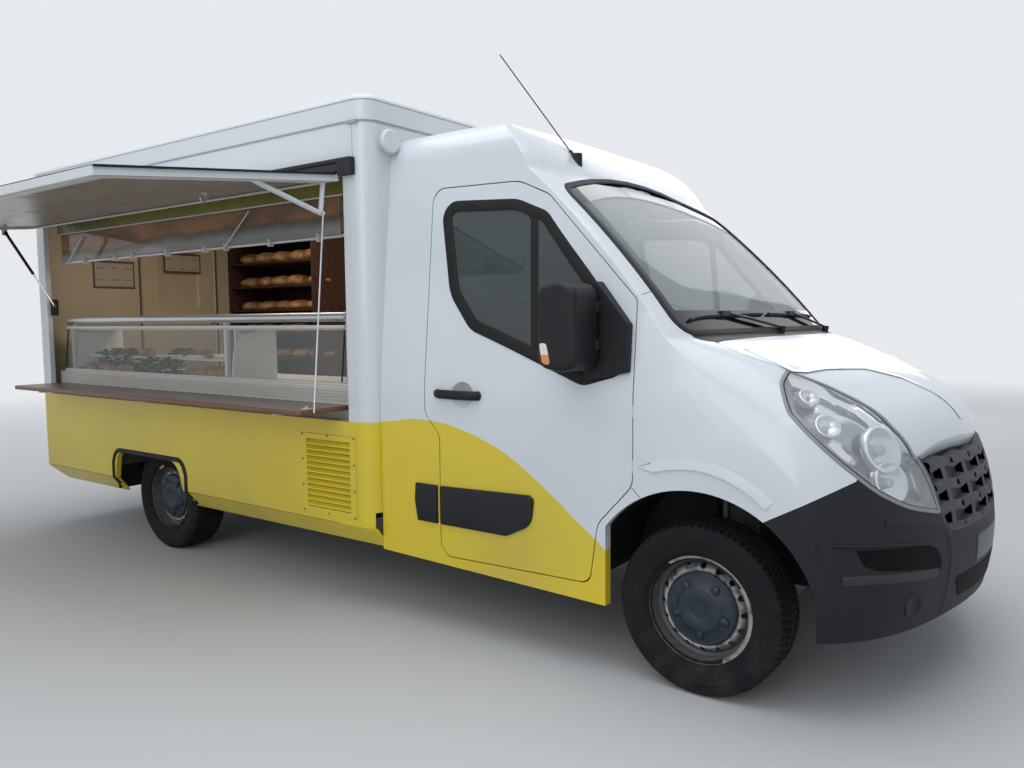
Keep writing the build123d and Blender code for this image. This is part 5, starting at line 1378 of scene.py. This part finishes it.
for x in (-4.55, -3.62):
    add_block(bm, (x - 0.17, -0.84, 1.2425), (x + 0.17, -0.64, 1.262))
finished("trays", bm, case_white, bevel=0.006)
print("goods laid out")

# %% [markdown]
# ## Serving shelf
# The shelf is a dark laminate board with a brown hardwood lip that catches the light along its front edge.

# %% Shelf
SHELF_OUTER, SHELF_INNER = -1.3675, -1.0375
SHELF_FRONT, SHELF_REAR, SHELF_CORNER = -1.85, -4.88, 0.018


def shelf_finish():
    """Grey-brown laminate, worn pale where coins and hands slide, with rain marks."""
    finish = Finish("shelf_laminate", (0.27, 0.235, 0.21), 0.33)
    grain = finish.noise(26, 4, (0.05, 1, 1))
    worn = finish.noise(2.4, 4, (0.6, 1, 1)).ramp(0.42, 0.7)
    base = finish.mix((0.235, 0.205, 0.19), (0.17, 0.13, 0.115), grain)
    finish.tint(base, (0.34, 0.31, 0.29), worn * 0.5)
    finish.put("Roughness", 0.28 + worn * 0.15 + finish.noise(60, 3) * 0.08)
    return finish.bump(grain, 0.0002)


def shelf_out(point):
    """Outward from the shelf: along the truck at its ends, sideways at its outer edge, both at corners."""
    end = (point.x > -1.9) - (point.x < -4.86) if point.y > SHELF_OUTER + SHELF_CORNER else 0
    return Vector((end, -1 if point.y < SHELF_OUTER + 2 * SHELF_CORNER else 0, 0))


dressed("serving_shelf", shelf_finish(), 0.002)
corner = [(SHELF_CORNER * math.sin(a), SHELF_CORNER * math.cos(a)) for a in (0, 0.4, 0.8, 1.17, math.pi / 2)]
path = [(SHELF_FRONT, SHELF_INNER - 0.004)]
path += [(SHELF_FRONT - SHELF_CORNER + b, SHELF_OUTER + SHELF_CORNER - a) for a, b in corner]
path += [(SHELF_REAR + SHELF_CORNER - a, SHELF_OUTER + SHELF_CORNER - b) for a, b in corner]
path += [(SHELF_REAR, SHELF_INNER - 0.004)]
bm = bmesh.new()
section = even((0.0125, -0.004), (0.0125, 0.001), (0.009, 0.004))
add_sweep(bm, [(x, y, 1.036) for x, y in path], section, shelf_out)
lip_wood = wood("shelf_lip", (0.22, 0.105, 0.06), (0.13, 0.055, 0.035), 1.5, 0.35)
finished("shelf_lip", bm, lip_wood, "shelf", smooth=50)
bm = bmesh.new()
for x in (-2.1, -3.36, -4.62):
    add_block(bm, (x - 0.02, SHELF_OUTER + 0.05, 1.006), (x + 0.02, SHELF_INNER - 0.01, 1.0238))
add_block(bm, (-1.905, SHELF_OUTER + 0.055, 1.0475), (-1.865, SHELF_OUTER + 0.095, 1.053))
add_bar(bm, (-1.885, SHELF_OUTER + 0.075, 1.05), (-1.885, SHELF_OUTER + 0.075, 1.062), 0.008, 12)
finished("shelf_bearers", bm, cream_alloy, "shelf", bevel=0.002)
print("shelf dressed")

# %% [markdown]
# ## Trim of the box
# A grey edge runs round the roof cap with a gutter under it, a black rubber trims the rear wheel arch, the
# louvre's frame is screwed on, and the rear end carries lamps in two colours and a blank plate.

# %% Roof edge and gutter
BOX_FRONT, BOX_REAR, BOX_SIDE, BOX_CORNER = -1.64, -5.06, 1.1, 0.09
edge_grey = plastic("roof_edge_grey", (0.36, 0.39, 0.42), 0.4, grain=80, depth=0.0001, dust=0.1)
plan = rounded_outline([(x, y, BOX_CORNER) for x, y in (
    (BOX_FRONT, -BOX_SIDE), (BOX_FRONT, BOX_SIDE), (BOX_REAR, BOX_SIDE), (BOX_REAR, -BOX_SIDE),
)], 8)


def from_box(point):
    """Outward from the box's middle line, square to its walls and turning round its corners."""
    inner_x = max(min(point.x, BOX_FRONT - BOX_CORNER), BOX_REAR + BOX_CORNER)
    inner_y = max(min(point.y, BOX_SIDE - BOX_CORNER), BOX_CORNER - BOX_SIDE)
    return Vector((point.x - inner_x, point.y - inner_y, 0))


for name, z, section in (
    ("gutter_strip", 2.429, [(-0.004, -0.001), (0.004, -0.001), (0.004, 0.003), (-0.004, 0.005)]),
    ("roof_edge_strip", 2.53, even((0.0025, -0.001), (0.0025, 0.0012))),
):
    bm = bmesh.new()
    add_sweep(bm, [(x, y, z) for x, y in plan], section, from_box, closed=True)
    finished(name, bm, edge_grey, smooth=50)
bm = bmesh.new()
add_block(bm, (-1.76, -1.11, 2.418), (-1.69, -1.099, 2.434))
drip = [(-1.728, -1.1, 2.425), (-1.728, -1.1, 2.262)]
add_sweep(bm, drip, even((0.002, -0.001), (0.002, 0.001)), (0, -1, 0))
finished("gutter_clip", bm, edge_grey, bevel=0.001)
print("roof edge drawn")

# %% Rear arch trim, louvre screws and sill seams
ARCH_REAR, ARCH_FRONT, ARCH_TOP = -4.094, -3.27, 0.622
skirt_skin = skin_tree("box_skirts", "box_right_wall", "box_left_wall", "vent_louvre")
for side, hand in SIDES.items():
    arch = rounded_outline([
        (ARCH_REAR, 0.3, 0), (ARCH_REAR, ARCH_TOP, 0.075), (ARCH_FRONT, ARCH_TOP, 0.075),
        (ARCH_FRONT, 0.3, 0),
    ], 6)
    start = next(i for i, (x, z) in enumerate(arch) if x < -4.09 and z < 0.31)
    arch = arch[start:] + arch[:start]
    wide = [
        (x, z + 0.01) if z > 0.55 else (x + (0.01 if x > -3.68 else -0.01), z) for x, z in arch
    ]
    line = [(x, z) for x, z in resampled(wide, 0.05, closed=False) if z > 0.352]
    bm = bmesh.new()
    add_sweep(bm, on_side(skirt_skin, line, side), [
        (-0.017, -0.004), (0.013, -0.004), (0.013, 0.002), (0.008, 0.008), (-0.01, 0.008), (-0.017, 0.002),
    ], (0, side, 0))
    finished(f"rear_arch_trim_{hand}", bm, seal_rubber, smooth=50)
bm = bmesh.new()
for side in SIDES:
    for x0, x1, reach0, reach1, z0, z1 in (
        (-4.13, -4.122, 1.06, 0.7, 0.36, 0.7), (-3.242, -3.234, 1.06, 0.7, 0.36, 0.7),
        (-4.13, -3.234, 1.06, 0.7, 0.7, 0.708), (-4.13, -3.234, 0.7, 0.692, 0.4, 0.708),
    ):
        y0, y1 = sorted((side * reach0, side * reach1))
        add_block(bm, (x0, y0, z0), (x1, y1, z1))
finished("rear_arch_liners", bm, black_plastic, bevel=0.002)
bm = bmesh.new()
SCREW_ROWS = (0.486, 0.62, 0.755, 0.889)
for x, heights in ((-1.766, SCREW_ROWS), (-1.96, (0.486, 0.889)), (-2.154, SCREW_ROWS)):
    for place in on_side(skirt_skin, [(x, z) for z in heights], -1):
        add_bar(bm, place + Vector((0, 0.002, 0)), place - Vector((0, 0.0025, 0)), 0.005, 12)
finished("louvre_screws", bm, axle_steel)
bm = bmesh.new()
for side in SIDES:
    for x0, x1 in ((-5.0, -4.14), (-3.23, -1.7)):
        line = on_side(skirt_skin, resampled([(x0, 0.4475), (x1, 0.4475)], 0.2, closed=False), side)
        add_sweep(bm, line, even((0.0012, -0.002), (0.0012, 0.0005)), (0, side, 0))
finished("skirt_seams", bm, seal_rubber)
print("arches trimmed")

# %% Rear end
LENSES = (
    ("amber", 0.68, 0.96, sleek("amber_lens", (0.7, 0.24, 0.02), 0.14)),
    ("clear", 0.06, 0.3, sleek("clear_lens", (0.7, 0.72, 0.74), 0.14)),
)
plate_blank = sleek("plate_rear_blank", (0.55, 0.5, 0.2), 0.35, 0.1)
lamp_low, lamp_high = (Vector(corner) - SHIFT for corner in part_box("rear_lamps"))
for side, hand in SIDES.items():
    y0, y1 = sorted((side * (lamp_high.y - 0.008), side * (lamp_high.y - 0.082)))
    for name, low, high, colour in LENSES:
        z0, z1 = (lamp_low.z + (lamp_high.z - lamp_low.z) * share for share in (low, high))
        bm = bmesh.new()
        add_block(bm, (lamp_low.x - 0.002, y0, z0), (lamp_low.x + 0.004, y1, z1))
        finished(f"rear_lamp_{name}_{hand}", bm, colour, bevel=0.002)
bm = bmesh.new()
add_block(bm, (-5.064, -0.86, 0.7), (-5.0595, -0.34, 0.81))
finished("plate_rear", bm, plate_blank, bevel=0.001)
bm = bmesh.new()
add_block(bm, (-5.072, -0.66, 0.826), (-5.0595, -0.54, 0.85))
for y in (-0.95, 0.95):
    add_bar(bm, (-5.0595, y, 0.515), (-5.066, y, 0.515), 0.03, 24)
finished("rear_fittings", bm, black_plastic, bevel=0.0015)
bm = bmesh.new()
for z in (0.8, 2.1):
    add_bar(bm, (-5.061, 0.3275, z - 0.05), (-5.061, 0.3275, z + 0.05), 0.0065, 14)
finished("rear_door_hinges", bm, black_plastic, "rear_door", bevel=0.0015)
print("rear end dressed")

# %% [markdown]
# ## Head lamps
# The CAD lamp is a solid slice of the cab's skin. Its outer faces become a clear lens 3 mm thick, and its
# other faces a silver housing. Four bowls sit behind the lens, the top one with an orange bulb, and a grey
# trim runs round.

# %% Head lamps
BOWLS = (
    # y, z, radius, whether its bulb is orange
    (0.775, 1.003, 0.082, False), (0.785, 0.888, 0.072, False), (0.902, 1.093, 0.042, False),
    (0.846, 1.19, 0.034, True),
)


def thickened(bm, depth):
    """Gives a sheet a second side, depth behind its first, and closes its edge."""
    bm.normal_update()
    grown = bmesh.ops.extrude_face_region(bm, geom=list(bm.faces))["geom"]
    bm.normal_update()
    for vert in [item for item in grown if isinstance(item, bmesh.types.BMVert)]:
        vert.co -= vert.normal * depth
    bmesh.ops.recalc_face_normals(bm, faces=bm.faces)


def edge_line(bm):
    """The open edge of a sheet as a closed line of points, the longest one if there are several."""
    ahead = {}
    for edge in bm.edges:
        if len(edge.link_faces) == 1:
            loop = edge.link_loops[0]
            ahead[loop.vert] = loop.link_loop_next.vert
    lines = []
    while ahead:
        vert = next(iter(ahead))
        line = []
        while vert in ahead:
            line.append(vert.co.copy())
            vert = ahead.pop(vert)
        lines.append(line)
    return max(lines, key=len)


def housing_finish():
    """Vacuum-plated plastic with a few folds, whose light and shade are painted as dark and bright bands; not
    a clean mirror.
    """
    finish = Finish("lamp_housing", (0.62, 0.64, 0.67), 0.16, Metallic=0.9)
    # painted highlight and shade: the same waves that bump the folds tint the plating from dark grey to
    # nearly white
    folds_and_painted_light = (finish.z * 48 + finish.x * 30 + finish.noise(5, 2) * 5).wave().ramp(-0.3, 0.3)
    finish.tint((0.34, 0.36, 0.4), (0.92, 0.94, 0.96), folds_and_painted_light)
    return finish.bump(folds_and_painted_light, 0.006)


lamp_housing = housing_finish()
lamp_trim = plastic("lamp_trim", (0.27, 0.28, 0.29), 0.4, grain=300, depth=0.0001)
lamp_chrome = metal("lamp_bowl", (0.74, 0.76, 0.8), 0.12, 0.9, dirt=0.04)
orange_bulb = sleek("orange_bulb", (0.75, 0.2, 0.03), 0.2, 0.0)
bulb_glass = sleek("bulb_glass", (0.55, 0.57, 0.62), 0.15, 0.0)
for side, hand in SIDES.items():
    heart = Vector((0.22, side * 0.42, 0.98))
    lens_mesh, shell_mesh = merged("headlamps"), merged("headlamps")
    for bm, keep_lens in ((lens_mesh, True), (shell_mesh, False)):
        bmesh.ops.translate(bm, verts=bm.verts, vec=-SHIFT)
        gone = []
        for face in bm.faces:
            middle = face.calc_center_median()
            facing = face.normal.dot((middle - heart).normalized())
            face.material_index = 0 if keep_lens or facing < -0.5 else 1
            if middle.y * side < 0 or (facing > 0.55) != keep_lens:
                gone.append(face)
        bmesh.ops.delete(bm, geom=gone, context="FACES")
    rim_line = edge_line(lens_mesh)
    tree = BVHTree.FromBMesh(lens_mesh)
    thickened(lens_mesh, 0.003)
    thickened(shell_mesh, 0.002)
    lens_piece = finished(f"lamp_lens_{hand}", lens_mesh, lens_glass, smooth=40)
    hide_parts("headlamps")
    finished(f"lamp_housing_{hand}", shell_mesh, [lamp_housing, lamp_trim])

    seats = []
    for y, z, radius, orange in BOWLS:
        place, normal, _, _ = tree.ray_cast(Vector((3, y * side, z)), Vector((-1, 0, 0)))
        seats.append((place, normal, normal.cross(Vector((0, 0, 1))).normalized(), radius, orange))
    bm = bmesh.new()
    for place, normal, across, radius, _ in seats:
        add_spun(bm, (
            (-0.011, radius + 0.006), (-0.009, radius + 0.004), (-0.009, radius * 0.96),
            (-0.019, radius * 0.8), (-0.027, radius * 0.58), (-0.032, radius * 0.28), (-0.033, 0.0005),
            (-0.037, 0.0005), (-0.036, radius + 0.006),
        ), place, normal, across, 40)
    finished(f"lamp_bowls_{hand}", bm, lamp_chrome, smooth=50)
    for tag, colour, is_orange in (("orange", orange_bulb, True), ("clear", bulb_glass, False)):
        bm = bmesh.new()
        for place, normal, across, radius, orange in seats:
            if orange == is_orange:
                thick = radius * 0.24
                turns = (0, 0.4, 0.8, 1.2, 1.57)
                dome = [(0.006 * math.sin(a) - 0.018, max(0.0005, thick * math.cos(a))) for a in turns]
                add_bar(bm, place - normal * 0.033, place - normal * 0.018, thick, 16)
                add_spun(bm, dome + [(-0.02, 0.0005), (-0.02, thick)], place, normal, across, 16)
        finished(f"lamp_bulbs_{hand}_{tag}", bm, colour, smooth=50)

    line = resampled(rim_line, 0.05)
    heart = sum(line, Vector()) / len(line)
    for tag, colour, inset, section in (
        ("trim", lamp_trim, 0.007, even((0.007, -0.002), (0.007, 0.0004), (0.004, 0.0014))),
        ("seal", seal_rubber, 0.017, even((0.0028, -0.004), (0.0028, 0.0004))),
    ):
        bm = bmesh.new()
        landed = [tree.find_nearest(point + (heart - point).normalized() * inset)[:2] for point in line]
        add_skin_line(bm, landed, section, closed=True)
        finished(f"lamp_{tag}_{hand}", bm, colour, smooth=50)
print("lamps fitted")

# %% [markdown]
# ## Grille and bumper
# The grille's bars are grey and its back plate nearly black. The bumper gets what its mould has: a brow
# over a recess at each corner, drawn as a flat black patch of painted shade, with a paler lip below it
# whose grey is partly a painted highlight, the line of the wheel arch flare, fog lamp covers, a lower slot
# drawn as painted shade the same way, and a blank plate.

# %% Grille


def nose_x(y, z):
    """Where the nose's skin lies at a width and height."""
    return 0.812 + (0.945 - z) * 0.2154 - 0.062 * (abs(y) / 0.45) ** 1.85


def grille_face(face, middle):
    """0 the bars, 1 the dark back plate."""
    return int(nose_x(middle.y, middle.z) - middle.x > 0.0215 and abs(face.normal.x) > 0.4)


grille_grey = plastic("grille_grey", (0.155, 0.16, 0.175), 0.42, grain=500, depth=0.0002, dust=0.3)
dressed("front_grille", [grille_grey, black_plastic], 0.003, grille_face)
print("grille dressed")

# %% Bumper details
SKIN_HOLD = 0.002
bumper_skin = skin_tree("front_bumper")
# painted shade: near-black, dull patches stand for the shade inside the corner recesses and the lower slot
recess_painted_shade = plastic("recess_painted_shade", (0.003, 0.003, 0.004), 0.6, dust=0.0, gloss=0.12)
# painted highlight: the lip ridge is a paler grey than the bumper, so that its crease reads as lit
crease_highlight_grey = plastic("bumper_crease_painted_highlight", (0.034, 0.036, 0.042), 0.45, dust=0.05, gloss=0.3)
plate_grey = sleek("plate_blank", (0.045, 0.047, 0.052), 0.3, 0.15)


def bumper_point(y, z):
    """A point of the bumper's skin seen from ahead, with its outward way."""
    place, normal, _, _ = bumper_skin.ray_cast(Vector((3, y, z)), Vector((-1, 0, 0)))
    if place is None:
        place, normal, _, _ = bumper_skin.find_nearest(Vector((0.8, y, z)))
    return place, normal


def bumper_patch(name, corners, steps, step, lift, material):
    """A thin sheet on the bumper's skin inside a closed line of (y, z, radius), fanned round its middle."""
    points = outlined(corners, step, steps)
    mean_y, mean_z = (sum(p[i] for p in points) / len(points) for i in (0, 1))
    rings = [
        [bumper_point(mean_y + (y - mean_y) * share, mean_z + (z - mean_z) * share) for y, z in points]
        for share in (1.0, 0.86, 0.72, 0.58, 0.44, 0.3, 0.15)
    ]
    centre, out = bumper_point(mean_y, mean_z)
    bm = bmesh.new()
    edges = []
    for height in (lift, -SKIN_HOLD):
        layer = [[bm.verts.new(place + normal * height) for place, normal in ring] for ring in rings]
        cap = bm.verts.new(centre + out * height)
        for i in range(len(points)):
            for a, b in zip(layer, layer[1:]):
                bm.faces.new((a[i - 1], a[i], b[i], b[i - 1]))
            bm.faces.new((layer[-1][i - 1], layer[-1][i], cap))
        edges.append(layer[0])
    top, low = edges
    for i in range(len(points)):
        bm.faces.new((top[i - 1], top[i], low[i], low[i - 1]))
    bmesh.ops.recalc_face_normals(bm, faces=bm.faces)
    finished(name, bm, material, smooth=50)


BUMPER_LINES = (
    # name, finish, section, points of (y, z)
    ("brow", bumper_plastic,
     [(-0.007, -0.002), (0.007, -0.002), (0.007, 0.001), (0.002, 0.007), (-0.003, 0.007), (-0.007, 0.002)],
     ((1.0, 0.682), (0.95, 0.68), (0.888, 0.677), (0.76, 0.667), (0.67, 0.655), (0.622, 0.63),
      (0.598, 0.59), (0.594, 0.548))),
    # the lip's paler grey is a painted highlight along the crease, over a real low ridge
    ("lip", crease_highlight_grey, even((0.016, -0.002), (0.016, 0.0005), (0.0, 0.006)),
     ((0.985, 0.56), (0.93, 0.562), (0.818, 0.556), (0.7, 0.546), (0.61, 0.541))),
    ("ridge", bumper_plastic, even((0.02, -0.002), (0.02, 0.0002), (0.0, 0.0045)),
     ((0.86, 0.752), (0.74, 0.735), (0.62, 0.712), (0.545, 0.69), (0.52, 0.64), (0.512, 0.55),
      (0.515, 0.45), (0.525, 0.36))),
)
RECESS = (
    (0.955, 0.668, 0.004), (0.66, 0.652, 0.045), (0.605, 0.59, 0.03), (0.612, 0.556, 0.012),
    (0.9, 0.592, 0.01), (0.935, 0.61, 0.01),
)
FOG_COVER = (
    (-0.002, 0.0005), (0.0012, 0.0005), (0.0012, 0.038), (0.003, 0.04), (0.003, 0.044), (-0.002, 0.047),
)
FLARE = ((0.371, 0.774), (0.407, 0.715), (0.449, 0.633), (0.48, 0.529), (0.501, 0.439), (0.512, 0.345))
for side, hand in SIDES.items():
    corners = [(y * side, z, radius) for y, z, radius in RECESS]
    # a flat black patch on the skin in place of the recess's hollow and its shade
    bumper_patch(f"bumper_recess_shade_{hand}", corners, 4, 0.015, 0.002, recess_painted_shade)
    for name, material, section, points in BUMPER_LINES:
        bm = bmesh.new()
        line = resampled([(y * side, z) for y, z in points], 0.03, closed=False)
        add_skin_line(bm, [bumper_point(*point) for point in line], section)
        finished(f"bumper_{name}_{hand}", bm, material, smooth=50)
    bm = bmesh.new()
    place, normal = bumper_point(0.735 * side, 0.44)
    add_spun(bm, FOG_COVER, place, normal, normal.cross(Vector((0, 0, 1))).normalized(), 36)
    finished(f"fog_cover_{hand}", bm, black_plastic, smooth=50)

    line = resampled([(x, side * 1.3, z) for x, z in FLARE], 0.03, closed=False)
    bm = bmesh.new()
    add_skin_line(bm, [bumper_skin.ray_cast(point, Vector((0, -side, 0)))[:2] for point in line],
                  even((0.03, -0.002), (0.03, 0.0), (0.0, 0.004)))
    finished(f"flare_line_{hand}", bm, bumper_plastic, smooth=20)
SLOT = ((-0.46, 0.488, 0.015), (0.46, 0.488, 0.015), (0.4, 0.4, 0.02), (-0.4, 0.4, 0.02))
# the lower slot is painted shade too: a flat black patch on the skin
bumper_patch("bumper_lower_slot_shade", SLOT, 3, 0.02, 0.002, recess_painted_shade)
for name, wide, low, high, lift, material in (
    ("plate_frame", 0.268, 0.5, 0.624, 0.0008, black_plastic),
    ("plate_front", 0.256, 0.51, 0.614, 0.0016, plate_grey),
):
    corners = [(y, z, 0.006) for y, z in ((-wide, low), (wide, low), (wide, high), (-wide, high))]
    bumper_patch(name, corners, 3, 0.02, lift, material)
print("bumper dressed")

# %% [markdown]
# ## Pressed lines
# Low ridges of paint stand for the pressings that catch the light: a flare over each front wheel, and a
# line that runs from the bonnet's corners down to its nose.

# %% Wing flares and bonnet lines
LOW_RIDGE = even((0.034, -0.002), (0.034, -0.0002), (0.0, 0.0018))
BONNET_HALF = ((0.284, 0.789), (0.335, 0.58), (0.42, 0.316), (0.545, 0.171), (0.691, 0.128), (0.77, 0.115))
bonnet_skin = skin_tree("bonnet")
for side, hand in SIDES.items():
    ring = []
    for k in range(13):
        angle = math.radians(132 - k * 6.2)
        reach = 0.592 - 0.1 * max(0, (math.pi / 2 - angle) / 1.05) ** 1.6
        ring.append((0.008 + reach * math.cos(angle), 0.345 + reach * math.sin(angle)))
    bm = bmesh.new()
    add_sweep(bm, on_side(cab_skin, ring, side), LOW_RIDGE, (0, side, 0.25))
    finished(f"wing_flare_{hand}", bm, white_paint, smooth=50)
    line = resampled([(x, side * y, 1.9) for x, y in BONNET_HALF], 0.04, closed=False)
    bm = bmesh.new()
    add_sweep(bm, on_skin(bonnet_skin, line, (0, 0, -1)), LOW_RIDGE, (0.3, 0, 1))
    finished(f"bonnet_line_{hand}", bm, white_paint, "bonnet", smooth=50)
print("pressed lines drawn")
